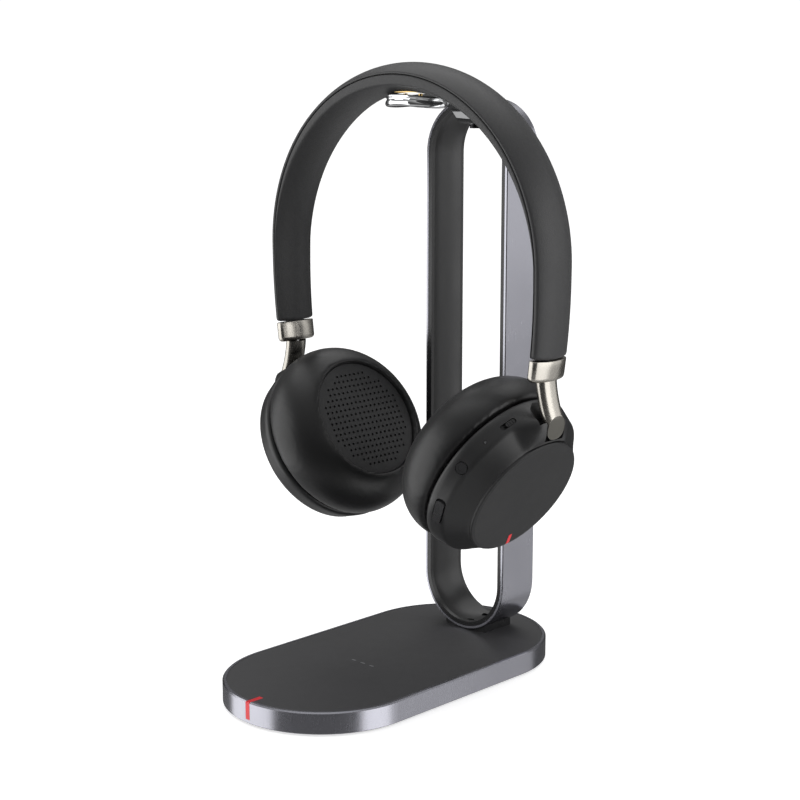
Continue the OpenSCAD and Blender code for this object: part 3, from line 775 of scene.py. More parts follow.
@dataclass
class Cradle(SubAssembly):
    """The bright spoon that the headband hangs on, with a thin rim over a bellied underside."""

    arc_r: float = 67.3
    arc_z: float = 165.75
    half_w: float = 13.2
    front_y: float = 4.2
    broad_y: float = 16.0
    neck_y: float = 31.0
    neck_half: float = 5.4
    back_y: float = 40.5
    tongue: tuple[Triple, ...] = (
        (33.0, 230.6, 1.6), (35.5, 230.3, 2.0), (38.0, 229.3, 2.3), (40.2, 227.7, 2.5), (42.0, 225.9, 2.6),
        (43.4, 224.6, 2.7), (44.8, 223.8, 2.8), (46.5, 223.6, 2.9), (55.0, 223.6, 2.9), (62.6, 223.6, 2.9),
        (63.1, 223.6, 2.5),
    )
    tongue_full: float = 2.9
    tongue_corner: float = 1.3
    plan_steps: int = 12
    neck_steps: int = 4
    flank: tuple[Point, ...] = (
        (0.9, 0.0), (0.35, 0.1), (0.05, 0.45), (0.1, 0.85), (0.6, 1.15), (1.0, 1.5), (0.9, 1.9), (0.35, 2.4),
        (0.05, 3.0), (0.1, 3.6), (0.6, 4.2), (1.6, 4.6), (3.0, 4.75),
    )

    def half_plan(self) -> list[Point]:
        """The right half of its plan, from the front's middle to the back: (x, y).

        Returns:
            Its points: a round front, an eased flank and a straight neck.
        """
        plan: list[Point] = []
        nose, flank, neck = self.broad_y - self.front_y, self.neck_y - self.broad_y, self.back_y - self.neck_y
        for k in range(self.plan_steps + 1):
            a = math.radians(90 * k / self.plan_steps)
            plan.append((self.half_w * math.sin(a) ** 0.8, self.broad_y - nose * math.cos(a)))
        for k in range(1, self.plan_steps + 1):
            share = k / self.plan_steps
            x = self.half_w + (self.neck_half - self.half_w) * eased(share)
            plan.append((x, self.broad_y + flank * share))
        return plan + [
            (self.neck_half, self.neck_y + neck * k / self.neck_steps) for k in range(1, self.neck_steps + 1)
        ]

    def ring(self, inset: float, drop: float, fill: float = 1.0) -> list[Vector]:
        """One level line round the spoon.

        Args:
            inset: How far it lies inside the plan.
            drop: How far it lies under the arc that the band rests on.
            fill: Its share of the width, for the lines that close the top and the underside.

        Returns:
            Its points, in metres.
        """
        half = self.half_plan()
        line: list[Vector] = []
        for x, y in half + [(-x, y) for x, y in reversed(half[1:])]:
            wide = max(abs(x) - inset, 0.02) * fill * math.copysign(1, x)
            deep = max(y, self.front_y + inset + (1 - fill) * (self.broad_y - self.front_y) * 0.9)
            line.append(Vector((wide, deep, self.arc_z + math.sqrt(self.arc_r**2 - wide**2) - drop)) * MM)
        return line

    def make_tongue(self) -> Object:
        """Makes the tongue that bends down from the neck and lies under the loop's top.

        Returns:
            The tongue; tongue gives the (y, z, half thickness) of each of its cross-sections.
        """
        rings = []
        corner = self.tongue_corner
        for y, z, half in self.tongue:
            wide = self.neck_half - 0.3 - (self.tongue_full - half) * 0.3
            outline = filleted(
                [(wide, half, corner), (-wide, half, corner), (-wide, -half, corner), (wide, -half, corner)]
            )
            rings.append([Vector((x, y, z + up)) * MM for x, up in outline])
        made = piece_of("cradle_tongue", lofted("cradle_tongue", rings), "bright_chrome", 60.0)
        return self.hand_in(made, "stand", slot="bright_chrome")

    def build(self) -> None:
        """Builds every piece of the group."""
        self.make_tongue()
        top, low = self.flank[0], self.flank[-1]
        levels = [self.ring(top[0], top[1] + 0.9 * (1 - fill), fill) for fill in (0.05, 0.4, 0.7, 0.88)]
        levels += [self.ring(inset, drop) for inset, drop in self.flank]
        levels += [self.ring(low[0], low[1] + 0.1, fill) for fill in (0.7, 0.4, 0.05)]
        made = piece_of("spoon_cradle", lofted("spoon_cradle", levels), "bright_chrome", 70.0)
        self.hand_in(refined(made), "stand", "cradle")
        self.dress("cradle_screws", "contact_pins")


@dataclass
class Headband(SubAssembly):
    """The padded arch: a crowned cover outside and a soft pad inside, sewn along a seam."""

    middle_y: float = 13.0
    outer_r: float = 74.75
    outer_z: float = 170.45
    inner_r: float = 67.75
    inner_z: float = 165.75
    leg_x: float = -168.75
    leg_r: float = 240.0
    leg_half: float = 3.5
    leg_parts: int = 16
    arch_parts: int = 44
    end_z: float = 137.36
    low_width: float = 18.6
    low_z: float = 127.0
    top_width: float = 23.0
    top_z: float = 245.2
    crown_r: float = 20.0
    belly_r: float = 22.0
    seam_in: float = 4.55
    seam_lap: float = 0.08
    ferrule_proud: float = 0.12
    ferrule_steps: tuple[Point, ...] = (
        (137.25, 0.4), (137.2, 0.12), (137.0, 0.0), (134.0, 0.0), (131.0, 0.02), (130.2, 0.1), (129.6, 0.45),
        (129.25, 1.0), (129.1, 1.9),
    )

    def half_line(self) -> list[tuple[Point, Point]]:
        """Follows the band's right half from the leg's end to the top.

        Returns:
            Pairs of (inner, outer) places, each (x, z).
        """
        pairs: list[tuple[Point, Point]] = []
        low = math.asin((self.inner_z - self.end_z) / self.leg_r)
        for k in range(self.leg_parts):
            a = -low * (1 - k / self.leg_parts)
            inner, outer = (
                (self.leg_x + r * math.cos(a), self.inner_z + r * math.sin(a))
                for r in (self.leg_r - self.leg_half, self.leg_r + self.leg_half)
            )
            pairs.append((inner, outer))
        straight = self.outer_z - self.inner_z
        outer_l = straight + self.outer_r * math.pi / 2
        for k in range(self.arch_parts + 1):
            share = k / self.arch_parts
            a = share * math.pi / 2
            inner = (self.inner_r * math.cos(a), self.inner_z + self.inner_r * math.sin(a))
            gone = share * outer_l
            if gone < straight:
                outer = (self.outer_r, self.inner_z + gone)
            else:
                b = (gone - straight) / self.outer_r
                outer = (self.outer_r * math.cos(b), self.outer_z + self.outer_r * math.sin(b))
            pairs.append((inner, outer))
        return pairs

    def stations(self) -> list[tuple[Vector, Vector, float, float]]:
        """Places the cross-sections along the whole band.

        Returns:
            (inner place, outward direction, thickness, width) of each, in millimetres.
        """
        half = self.half_line()
        whole = half + [((-i[0], i[1]), (-o[0], o[1])) for i, o in reversed(half[:-1])]
        made = []
        for inner, outer in whole:
            low = Vector((inner[0], self.middle_y, inner[1]))
            high = Vector((outer[0], self.middle_y, outer[1]))
            share = (high.z - self.low_z) / (self.top_z - self.low_z)
            width = self.low_width + (self.top_width - self.low_width) * share
            made.append((low, (high - low).normalized(), (high - low).length, width))
        return made

    def cover_outline(self, thick: float, width: float) -> list[Point]:
        """Draws the cover's cross-section, with its lips tucked in at the seam.

        Args:
            thick: The band's thickness there.
            width: Its width there.

        Returns:
            The outline: (across, outwards).
        """
        half, seam = width / 2, thick - self.seam_in + self.seam_lap
        drop = self.crown_r - math.sqrt(self.crown_r**2 - half**2)
        crown = [
            (q * half, thick - (self.crown_r - math.sqrt(self.crown_r**2 - (q * half) ** 2)), 0.0)
            for q in (0.8, 0.6, 0.4, 0.2, 0.0, -0.2, -0.4, -0.6, -0.8)
        ]
        shoulder = thick - drop - 0.1
        return filleted(
            [(half, seam, 0.7), (half, shoulder, 1.9), *crown, (-half, shoulder, 1.9), (-half, seam, 0.7)]
        )

    def pad_outline(self, thick: float, width: float) -> list[Point]:
        """Draws the pad's cross-section, bellied towards the head.

        Args:
            thick: The band's thickness there.
            width: Its width there.

        Returns:
            The outline: (across, outwards).
        """
        half, seam = width / 2 - 0.1, thick - self.seam_in - self.seam_lap
        rise = self.belly_r - math.sqrt(self.belly_r**2 - half**2)
        side = min(rise, seam - 0.25)
        belly = [
            (q * half, (self.belly_r - math.sqrt(self.belly_r**2 - (q * half) ** 2)) * side / rise, 0.0)
            for q in (-0.8, -0.6, -0.4, -0.2, 0.0, 0.2, 0.4, 0.6, 0.8)
        ]
        return filleted(
            [(-half, seam, 0.7), (-half, side, 1.6), *belly, (half, side, 1.6), (half, seam, 0.7)]
        )

    def ferrule_outline(self, inset: float) -> list[Point]:
        """Draws the ferrule's cross-section: the whole band's, crowned outside and bellied inside.

        Args:
            inset: How far it lies inside the ferrule's full size.

        Returns:
            The outline: (across, outwards).
        """
        thick, half = 2 * self.leg_half, self.low_width / 2 + self.ferrule_proud - inset
        drop = self.crown_r - math.sqrt(self.crown_r**2 - half**2)
        high, low = thick + self.ferrule_proud - inset, inset - self.ferrule_proud
        crown = [(q * half, high - drop * q * q, 0.0) for q in (0.7, 0.35, 0.0, -0.35, -0.7)]
        belly = [(q * half, low + drop * 0.8 * q * q, 0.0) for q in (-0.7, -0.35, 0.0, 0.35, 0.7)]
        outer, inner = high - drop, low + drop * 0.8
        return filleted(
            [(half, outer, 1.9), *crown, (-half, outer, 1.9), (-half, inner, 1.6), *belly, (half, inner, 1.6)]
        )

    def make_ferrule(self, side: Side) -> Object:
        """Makes the metal sleeve end of one side, flush with the band and rounded below.

        Args:
            side: The side.

        Returns:
            The sleeve end.
        """
        name = f"{side.word}_sleeve_end"
        rings = []
        for z, inset in self.ferrule_steps:
            a = -math.asin((self.inner_z - z) / self.leg_r)
            out = Vector((math.cos(a), 0, math.sin(a)))
            low = Vector((self.leg_x, self.middle_y, self.inner_z)) + out * (self.leg_r - self.leg_half)
            ring = [(low + out * r + Vector((0, q, 0))) * MM for q, r in self.ferrule_outline(inset)]
            rings.append([Vector((point.x * side.value, point.y, point.z)) for point in ring])
        made = piece_of(name, lofted(name, rings), "satin_nickel", 50.0)
        return self.hand_in(made, "headband", f"{side.word}_ferrule")

    def swept(self, name: str, outline: Callable[[float, float], list[Point]]) -> Mesh:
        """Sweeps a cross-section along the band.

        Args:
            name: The mesh's name.
            outline: Gives the cross-section for a thickness and a width.

        Returns:
            The mesh.
        """
        rings = []
        for low, out, thick, width in self.stations():
            rings.append([(low + out * r + Vector((0, q, 0))) * MM for q, r in outline(thick, width)])
        return lofted(name, rings)

    def build(self) -> None:
        """Builds every piece of the group."""
        for name, node, outline, fill in (
            ("band_sleeve", "headband_cover", self.cover_outline, 0.9),
            ("band_padding", "headband_pad", self.pad_outline, 0.7),
        ):
            made = piece_of(name, self.swept(name, outline), SLOT_OF[node], 60.0)
            self.hand_in(refined(made), "headband", node)
        for side in Side:
            self.make_ferrule(side)
        self.dress("band_spring", "band_contacts", "left_slide_guide", "right_slide_guide")


@dataclass
class SliderArm(SubAssembly):
    """One side's sliding stem and its bent arm, cut off flat where it meets the cup."""

    side: Side = Side.RIGHT
    centre: Point = (114.695, 133.043)
    bend_r: float = 46.2
    start: float = 184.9
    end: float = 217.0
    half_t: float = 2.8
    half_w: float = 4.85
    squareness: float = 2.3
    round_parts: int = 40
    length_parts: int = 24
    cut_at: Point = (73.8, 111.4)
    cut_lean: float = 10.0
    middle_y: float = 13.0

    def ring(self, angle: float) -> list[Vector]:
        """Draws the arm's cross-section.

        Args:
            angle: How far along its bend, in degrees.

        Returns:
            The points, in metres.
        """
        out = Vector((math.cos(math.radians(angle)), 0, math.sin(math.radians(angle))))
        middle = Vector((self.centre[0], self.middle_y, self.centre[1])) + out * self.bend_r
        line = []
        for k in range(self.round_parts):
            c, s = math.cos(math.tau * k / self.round_parts), math.sin(math.tau * k / self.round_parts)
            u = math.copysign(abs(c) ** (2 / self.squareness), c) * self.half_t
            v = math.copysign(abs(s) ** (2 / self.squareness), s) * self.half_w
            line.append((middle + out * u + Vector((0, v, 0))) * MM)
        return line

    def make_arm(self) -> Object:
        """Makes the bent arm, with its flat cut face left dull.

        Returns:
            The arm.
        """
        name = f"{self.side.word}_bent_arm"
        sweep, parts = self.end - self.start, self.length_parts
        rings = [self.ring(self.start + sweep * k / parts) for k in range(parts + 1)]
        mesh = lofted(name, rings)
        lean = math.radians(self.cut_lean)
        made = bmesh.new()
        made.from_mesh(mesh)
        cut = bmesh.ops.bisect_plane(
            made,
            geom=[*made.verts, *made.edges, *made.faces],
            clear_outer=True,
            plane_co=Vector((self.cut_at[0], 0, self.cut_at[1])) * MM,
            plane_no=(math.cos(lean), 0, -math.sin(lean)),
        )
        rim = [part for part in cut["geom_cut"] if isinstance(part, bmesh.types.BMEdge)]
        bmesh.ops.contextual_create(made, geom=rim)
        made.to_mesh(mesh)
        made.free()
        if self.side is Side.LEFT:
            mesh.transform(Matrix.Diagonal((-1, 1, 1, 1)))
            mesh.flip_normals()
        piece = piece_of(name, mesh, "satin_nickel", 40.0)
        piece.data.materials.append(paint_of("sawn_nickel"))
        facing = Vector((self.side.value * math.cos(lean), 0, -math.sin(lean)))
        for face in piece.data.polygons:
            face.material_index = int(face.normal.dot(facing) > 0.99)
        edge = piece.modifiers.new("edge", "BEVEL")
        edge.width, edge.segments, edge.angle_limit = 0.25 * MM, 2, math.radians(40)
        return self.hand_in(settled(piece), f"{self.side.word}_arm", f"{self.side.word}_arm")

    def build(self) -> None:
        """Builds every piece of the group."""
        self.make_arm()
        self.dress(*(f"{self.side.word}_{part}" for part in ("stem", "tilt_pin")))


@dataclass
class EarCup(SubAssembly):
    """One ear cup: shell, outer plate, ring cushion and perforated face."""

    side: Side = Side.RIGHT
    seat: Triple = (40.5, 13.0, 93.1)
    lean: float = 29.9
    shoulder_r: float = 17.2
    shoulder_at: Point = (18.8, -2.4)
    bowl_r: float = 24.6
    face_z: float = -16.4
    face_r: float = 24.2
    field_r: float = 20.7
    hole_r: float = 0.52
    hole_step: float = 2.42
    crest_round: float = 1.5
    skirt_z: float = 3.4
    waist: tuple[Point, ...] = (
        (34.9, 6.0), (34.45, 7.7), (33.98, 9.4), (33.5, 11.2), (33.13, 12.6), (32.3, 13.35), (31.15, 14.45),
        (29.95, 15.65), (28.8, 16.85), (27.7, 18.05), (26.9, 19.0), (26.3, 19.65), (26.1, 19.8),
    )
    boss: tuple[Point, ...] = (
        (34.9, 6.0), (35.1, 7.9), (35.4, 10.2), (35.7, 12.4), (35.9, 14.6), (36.0, 16.4), (35.6, 17.7),
        (34.6, 18.8), (33.0, 19.6), (31.0, 20.4), (29.0, 20.9), (27.2, 20.9), (26.1, 19.8),
    )
    boss_full: float = 9.0
    boss_end: float = 30.0
    core_r: float = 23.9
    pin_at: Point = (-32.26, 17.79)
    control_ways: tuple[tuple[str, Triple, float, float, int], ...] = (
        ("button_way", (4.6, 4.6, 6.0), 2.28, 249.0, 12),
        ("rocker_way", (4.5, 12.0, 5.2), 2.2, 285.0, 10),
        ("switch_way", (2.2, 7.0, 3.4), 1.05, 208.0, 8),
        ("hole", (1.1, 1.1, 4.0), 0.54, 227.0, 6),
    )
    seat_lip: tuple[Point, ...] = ((31.0, 4.3), (31.3, 4.25), (33.4, 4.25), (34.1, 4.45), (34.6, 5.0))
    shell_parts: int = 216
    cushion_root: float = 31.5
    cushion_floor: float = -12.5
    foam_r: float = 23.6
    foam_z: Point = (-15.1, -14.2)
    rim_foot: Point = (34.9, 6.0)
    voxel: float = 0.0012
    swell: float = 0.0004

    @property
    def place(self) -> Matrix:
        """The cup's own frame: Z out of the cup, X down, Y to the back.

        Returns:
            The frame, in metres; the left one is the right one's mirror image.
        """
        s, c = math.sin(math.radians(self.lean)), math.cos(math.radians(self.lean))
        axes = Matrix(((-s, 0, c, 0), (0, 1, 0, 0), (-c, 0, -s, 0), (0, 0, 0, 1)))
        right = shift(*self.seat) @ axes
        return right if self.side is Side.RIGHT else Matrix.Diagonal((-1, 1, 1, 1)) @ right

    @property
    def body(self) -> str:
        """The cup's body."""
        return f"{self.side.word}_cup"

    def cushion_outline(self) -> list[Point]:
        """Draws the cushion's cross-section, from the seam over the shoulder into the bowl.

        Returns:
            The outline: (radius, height).
        """
        seam = self.skirt_z - 0.7 - self.shoulder_at[1]
        brow = self.bowl_r + self.crest_round * 0.8 - self.shoulder_at[0]
        start = math.degrees(math.asin(seam / self.shoulder_r))
        end = -math.degrees(math.acos(brow / self.shoulder_r))
        shoulder = arc_points(self.shoulder_at, self.shoulder_r, start, end, 18)
        crest = shoulder[-1]
        return filleted(
            [
                (self.cushion_root, self.skirt_z, 0.4),
                (34.4, self.skirt_z, 0.9),
                *shoulder,
                (self.bowl_r + 0.1, crest[1] - 0.35, self.crest_round),
                (self.bowl_r - 0.5, self.cushion_floor, 0.6),
                (self.cushion_root, self.cushion_floor, 0.6),
            ]
        )

    def make_cushion(self) -> Object:
        """Makes the ring cushion and lets it swell.

        Returns:
            The cushion.
        """
        name = f"{self.side.word}_ear_cushion"
        made = piece_of(name, turned(name, self.cushion_outline(), self.place), "cushion_leatherette", 60.0)
        inward = self.place.inverted()

        def held(co: Vector) -> bool:
            """Says whether a point lies at the seam or inside the bowl."""
            return (inward @ co).z > 0.5 * MM or (inward @ co).xy.length < self.bowl_r * MM

        puffed(made, self.voxel, self.swell, held)
        made.data.shade_smooth()
        self.hand_in(made, self.body, f"{self.side.word}_cushion")
        return made

    def make_face(self) -> Object:
        """Makes the perforated face, with a real opening for each hole.

        Returns:
            The face.
        """
        name = f"{self.side.word}_face_cloth"
        sheet = bpy.data.curves.new(name, "CURVE")
        sheet.dimensions, sheet.fill_mode = "2D", "BOTH"
        sheet.extrude, sheet.bevel_depth, sheet.bevel_resolution = 0.2 * MM, 0.1 * MM, 1
        reach = int(self.field_r / self.hole_step)
        spots = [
            (i * self.hole_step, j * self.hole_step)
            for i in range(-reach, reach + 1)
            for j in range(-reach, reach + 1)
            if math.hypot(i, j) * self.hole_step <= self.field_r
        ]
        circles = [((0.0, 0.0), self.face_r, 96)] + [(spot, self.hole_r + 0.1, 14) for spot in spots]
        for (x, y), radius, parts in circles:
            ring = sheet.splines.new("POLY")
            ring.points.add(parts - 1)
            ring.use_cyclic_u = True
            for k, point in enumerate(ring.points):
                a = 2 * math.pi * k / parts
                point.co = ((x + radius * math.cos(a)) * MM, (y + radius * math.sin(a)) * MM, 0, 1)
        flat = bpy.data.objects.new(name + "_flat", sheet)
        bpy.context.scene.collection.objects.link(flat)
        bpy.context.view_layer.update()
        mesh = bpy.data.meshes.new_from_object(flat.evaluated_get(bpy.context.evaluated_depsgraph_get()))
        bpy.data.objects.remove(flat)
        mesh.transform(self.place @ shift(0, 0, self.face_z + 0.4))
        if self.side is Side.LEFT:
            mesh.flip_normals()
        made = piece_of(name, mesh, "perforated_cloth", 30.0)
        return self.hand_in(made, self.body, f"{self.side.word}_speaker_cloth")

    def make_foam(self) -> Object:
        """Makes the dark foam disc behind the holes.

        Returns:
            The disc.
        """
        name = f"{self.side.word}_face_foam"
        (back, front), wide = self.foam_z, self.foam_r
        outline = filleted([(0.01, back, 0), (0.01, front, 0), (wide, front, 0.3), (wide, back, 0.3)])
        made = piece_of(name, turned(name, outline, self.place, 64), "foot_rubber", 40.0)
        return self.hand_in(made, self.body, slot="foot_rubber")

    def seat_on_rim(self, angle: float, height: float = 9.9, lean: float = 15.0) -> Matrix:
        """Finds a place on the rim's surface: local Z points out of the cup, Y along the rim.

        Args:
            angle: How far round the cup, in degrees.
            height: How far up the rim.
            lean: How far the rim leans in, in degrees.

        Returns:
            The place.
        """
        radius = self.rim_foot[0] - (height - self.rim_foot[1]) * math.tan(math.radians(lean))
        turn = Matrix.Rotation(math.radians(angle), 4, "Z")
        tip = Matrix.Rotation(math.radians(90 - lean), 4, "Y")
        return self.place @ turn @ shift(radius, 0, height) @ tip

    def openings(self) -> list[Mesh]:
        """Makes the solids that are cut out of the shell.

        Returns:
            The arm's pocket and, on the right, the openings of the controls and the boom.
        """
        x, z = self.pin_at
        along = self.place @ shift(x, -1.5, z) @ Matrix.Rotation(math.radians(self.lean - 2), 4, "Y")
        pin = self.place @ shift(x, 0, z) @ Matrix.Rotation(math.radians(90), 4, "X")
        tools = [
            rounded_bar("pocket", (13.0, 13.4, 21.0), 5.5, along @ shift(-4.2, 0, -11.5), 14),
            rounded_bar("swing", (10.0, 10.0, 10.2), 4.9, pin, 14),
        ]
        if self.side is Side.LEFT:
            return tools
        tools += [
            rounded_bar(name, size, corner, self.seat_on_rim(angle), steps)
            for name, size, corner, angle, steps in self.control_ways
        ]
        slit = self.place @ Matrix.Rotation(math.radians(BOOM_TURN), 4, "Z") @ shift(31.0, 0, 15.5)
        tools.append(rounded_bar("boom_way", (16.0, 5.5, 2.1), 0.1, slit, 2))
        return tools

    def make_housing(self) -> Object:
        """Makes the shell: a waisted ring that rises in a smooth boss round the arm's end.

        Returns:
            The shell.
        """
        name = f"{self.side.word}_shell"
        under = [(self.core_r, self.seat_lip[0][1]), *self.seat_lip]
        rings = []
        for i in range(self.shell_parts):
            angle = math.tau * i / self.shell_parts
            off = abs(math.degrees(angle) - 180)
            share = min(max((self.boss_end - off) / (self.boss_end - self.boss_full), 0.0), 1.0)
            share = eased(share)
            side = [
                (low[0] + (high[0] - low[0]) * share, low[1] + (high[1] - low[1]) * share)
                for low, high in zip(self.waist, self.boss)
            ]
            outline = under + side + [(25.4, 19.62), (self.core_r, 19.6)]
            c, s = math.cos(angle), math.sin(angle)
            rings.append([self.place @ (Vector((r * c, r * s, z)) * MM) for r, z in outline])
        made = piece_of(name, lofted(name, rings, round_again=True), "cup_plastic", None)
        carved(made, self.openings())
        made.data.shade_smooth()
        made.data.set_sharp_from_angle(angle=math.radians(38))
        edge = made.modifiers.new("edge", "BEVEL")
        edge.width, edge.segments, edge.angle_limit = 0.18 * MM, 2, math.radians(45)
        even = made.modifiers.new("even", "WEIGHTED_NORMAL")
        even.keep_sharp = True
        return self.hand_in(settled(made), self.body, f"{self.side.word}_housing")

    def build(self) -> None:
        """Builds every piece of the group."""
        self.make_cushion()
        self.make_face()
        self.make_foam()
        self.make_housing()
        word = self.side.word
        parts = ("outer_plate", "baffle", "driver", "cushion_ring", "cup_screws")
        self.dress(*(f"{word}_{part}" for part in parts))
        self.dress("battery") if self.side is Side.LEFT else self.dress("main_board", "status_light")


@dataclass
class CupControls(SubAssembly):
    """The right cup's switch, button, rocker and microphone boom with its red stripe."""

    turn: float = BOOM_TURN
    half_w: float = 0.8
    stripe: tuple[Point, ...] = (
        (20.2, 21.42), (24.5, 21.42), (25.6, 21.0), (26.2, 20.5), (26.6, 19.75), (28.0, 18.05), (29.4, 16.6),
        (30.6, 15.4),
    )
    under: float = 0.75

    def make_stripe(self) -> Object:
        """Makes the red stripe that runs over the plate's edge and down the waist.

        Returns:
            The stripe.
        """
        place = EarCup(side=Side.RIGHT).place @ Matrix.Rotation(math.radians(self.turn), 4, "Z")
        rings = []
        for i, (r, z) in enumerate(self.stripe):
            before, after = self.stripe[max(i - 1, 0)], self.stripe[min(i + 1, len(self.stripe) - 1)]
            along = Vector((after[0] - before[0], after[1] - before[1])).normalized()
            low = (r + along.y * self.under, z - along.x * self.under)
            high, wide = (r, z), self.half_w
            corners = ((high, wide), (high, -wide), (low, -wide), (low, wide))
            rings.append([place @ (Vector((at[0], y, at[1])) * MM) for at, y in corners])
        made = piece_of("boom_stripe", lofted("boom_stripe", rings), "red_accent", 40.0)
        edge = made.modifiers.new("edge", "BEVEL")
        edge.width, edge.segments = 0.1 * MM, 2
        return self.hand_in(settled(made), "boom", "boom_tip")

    def build(self) -> None:
        """Builds every piece of the group."""
        self.make_stripe()
        self.dress("power_switch", "call_button", "volume_rocker", "mic_boom")


# ---------------------------------------------------------------- studio


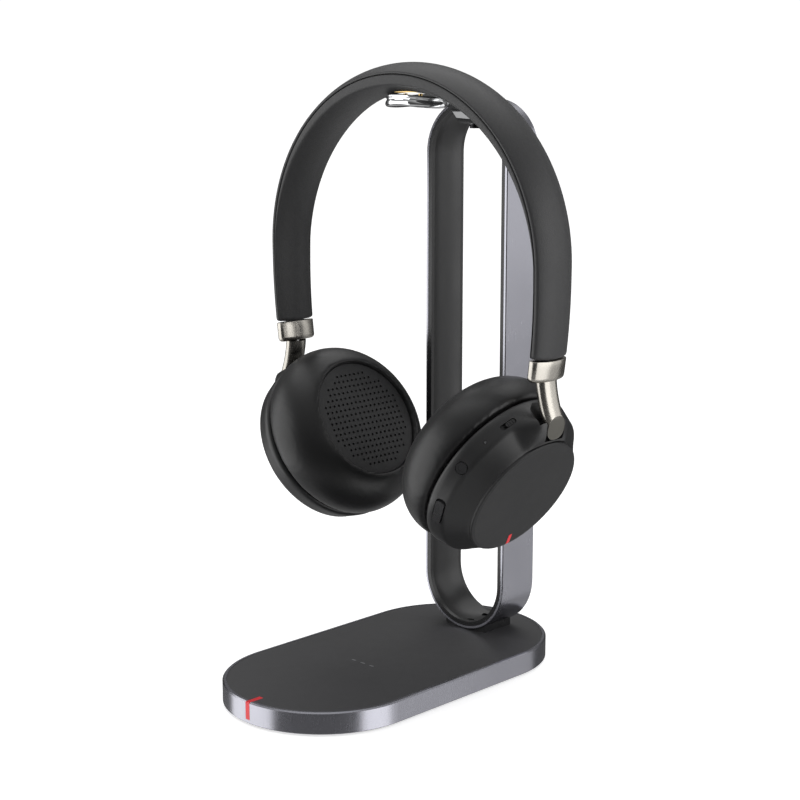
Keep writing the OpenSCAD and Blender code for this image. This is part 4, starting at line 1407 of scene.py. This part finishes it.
@dataclass
class Studio:
    """Pale floor, white surround and soft lights."""

    floor_half: float = 9.0
    floor_tone: float = 0.8
    floor_glow: float = 0.62
    sky: tuple[Point, ...] = ((0.0, 0.45), (1.0, 0.6), (0.22, 0.4), (0.36, 0.05), (0.6, 0.07), (0.8, 0.3))
    sun_power: float = 1.0
    aim: Triple = (0.0, 0.0, 0.42)

    def floor(self) -> None:
        """Lays the pale floor under the base."""
        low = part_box("foot_pad")[0].z
        half = self.floor_half
        square = ((-half, -half), (half, -half), (half, half), (-half, half))
        corners = [Vector((x, y, low)) for x, y in square]
        mesh = mesh_of("studio_floor", corners, [(0, 1, 2, 3)])
        tree = Grain("studio_paper")
        cloud = tree.noise(6.0, 3.0)
        colour = tree.tint(cloud, (self.floor_tone,) * 3, (self.floor_tone + 0.02,) * 3)
        tree.shader.inputs["Emission Color"].default_value = (1, 1, 1, 1)
        tree.set(Specular_IOR_Level=0.2, Emission_Strength=self.floor_glow)
        mesh.materials.append(tree.close(colour, tree.spread(cloud, 0.3, 0.7, 0.5, 0.56)))
        ground = bpy.data.objects.new("studio_floor", mesh)
        ground.visible_glossy = False
        bpy.context.scene.collection.objects.link(ground)

    def world(self) -> None:
        """Sets the surround: white straight on, dim round the sides and brighter overhead otherwise."""
        scene = bpy.context.scene
        scene.world = bpy.data.worlds.new("surround")
        scene.world.use_nodes = True
        nodes, links = scene.world.node_tree.nodes, scene.world.node_tree.links
        back = nodes["Background"]
        back.inputs["Color"].default_value = (1, 1, 1, 1)
        place, split = nodes.new("ShaderNodeTexCoord"), nodes.new("ShaderNodeSeparateXYZ")
        links.new(place.outputs["Generated"], split.inputs["Vector"])
        height, rise = nodes.new("ShaderNodeMapRange"), nodes.new("ShaderNodeValToRGB")
        height.inputs["From Min"].default_value = -1.0
        links.new(split.outputs["Z"], height.inputs["Value"])
        links.new(height.outputs["Result"], rise.inputs["Fac"])
        stops = rise.color_ramp.elements
        for i, (at, glow) in enumerate(self.sky):
            stop = stops[i] if i < 2 else stops.new(at)
            stop.position, stop.color = at, (glow, glow, glow, 1.0)
        path, pick = nodes.new("ShaderNodeLightPath"), nodes.new("ShaderNodeMapRange")
        pick.inputs["To Max"].default_value = 1.05
        links.new(rise.outputs["Color"], pick.inputs["To Min"])
        links.new(path.outputs["Is Camera Ray"], pick.inputs["Value"])
        links.new(pick.outputs["Result"], back.inputs["Strength"])

    def softbox(self, name: str, at: Triple, size: Point, power: float) -> None:
        """Hangs a rectangular soft light.

        Args:
            name: Its name.
            at: Its place, in metres.
            size: Its width and height.
            power: Its power in watts.
        """
        lamp = bpy.data.lights.new(name, "AREA")
        lamp.shape, lamp.size, lamp.size_y, lamp.energy = "RECTANGLE", size[0], size[1], power
        hung = bpy.data.objects.new(name, lamp)
        hung.location = at
        hung.rotation_euler = (Vector(self.aim) - Vector(at)).to_track_quat("-Z", "Y").to_euler()
        hung.visible_camera = False
        bpy.context.scene.collection.objects.link(hung)

    def card(self, name: str, middle: Point, width: float, height: Point, glow: float) -> None:
        """Stands a glowing card that shows in reflections only, facing the object.

        Args:
            name: Its name.
            middle: Its place on the ground plan, in metres.
            width: Its width.
            height: The heights of its lower and upper edges.
            glow: How bright it is.
        """
        out = Vector((*middle, 0.0))
        along = Vector((-out.y, out.x, 0.0)).normalized() * width / 2
        low, high = Vector((0, 0, height[0])), Vector((0, 0, height[1]))
        corners = [out - along + low, out + along + low, out + along + high, out - along + high]
        mesh = mesh_of(name, corners, [(0, 1, 2, 3)])
        tree = Grain(name)
        tree.set(Emission_Strength=glow)
        tree.shader.inputs["Emission Color"].default_value = (1, 1, 1, 1)
        tree.shader.inputs["Base Color"].default_value = (0, 0, 0, 1)
        tree.material.cycles.emission_sampling = "NONE"
        mesh.materials.append(tree.close())
        hung = bpy.data.objects.new(name, mesh)
        hung.visible_camera = hung.visible_diffuse = hung.visible_shadow = hung.visible_transmission = False
        bpy.context.scene.collection.objects.link(hung)

    def sun(self) -> None:
        """Adds an even overhead light with very soft shadows."""
        lamp = bpy.data.lights.new("overhead", "SUN")
        lamp.energy, lamp.angle = self.sun_power, math.radians(70)
        hung = bpy.data.objects.new("overhead", lamp)
        hung.rotation_euler = (math.radians(-14), math.radians(-16), 0)
        bpy.context.scene.collection.objects.link(hung)

    def build(self) -> None:
        """Builds floor, surround and lights."""
        self.floor()
        self.world()
        self.sun()
        self.softbox("left_box", (-0.85, -0.85, 0.45), (1.5, 0.9), 8.0)
        self.softbox("right_box", (1.16, 0.31, 0.45), (0.85, 0.9), 5.0)
        self.softbox("back_panel", (0.77, 0.92, 0.45), (0.8, 0.9), 2.2)
        self.card("left_card", (-0.85, -0.85), 1.5, (-0.8, 0.0), 1.8)
        self.card("right_card", (1.16, 0.31), 0.85, (-0.8, 0.0), 1.9)
        self.card("back_card", (0.77, 0.92), 0.8, (-0.8, 0.0), 0.6)
        view = bpy.context.scene.view_settings
        view.view_transform, view.look = "Standard", "None"


@dataclass
class CameraRig:
    """The camera, in front, to the right and a little above."""

    at: Triple = (0.4654, -0.4729, 0.2435)
    aim: Triple = (-0.01813, 0.02444, 0.1082)
    lens: float = 77.04
    sensor: float = 36.0

    def build(self) -> None:
        """Builds the camera and makes it the scene's own."""
        data = bpy.data.cameras.new("studio_camera")
        data.lens, data.sensor_width, data.clip_start = self.lens, self.sensor, 0.01
        rig = bpy.data.objects.new("studio_camera", data)
        rig.location = self.at
        rig.rotation_euler = (Vector(self.aim) - Vector(self.at)).to_track_quat("-Z", "Y").to_euler()
        bpy.context.scene.collection.objects.link(rig)
        bpy.context.scene.camera = rig


def main() -> None:
    """Builds the studio and every sub-assembly in order."""
    logging.basicConfig(level=logging.INFO, format="%(message)s")
    CameraRig().build()
    Studio().build()
    groups: list[SubAssembly] = [StandBase(), StandLoop(), Cradle(), Headband()]
    groups += [SliderArm(side=side) for side in Side] + [EarCup(side=side) for side in Side] + [CupControls()]
    for group in groups:
        group.build()
        LOG.info("%s: %d new pieces", type(group).__name__, len(group.made))


if __name__ == "__main__":
    main()
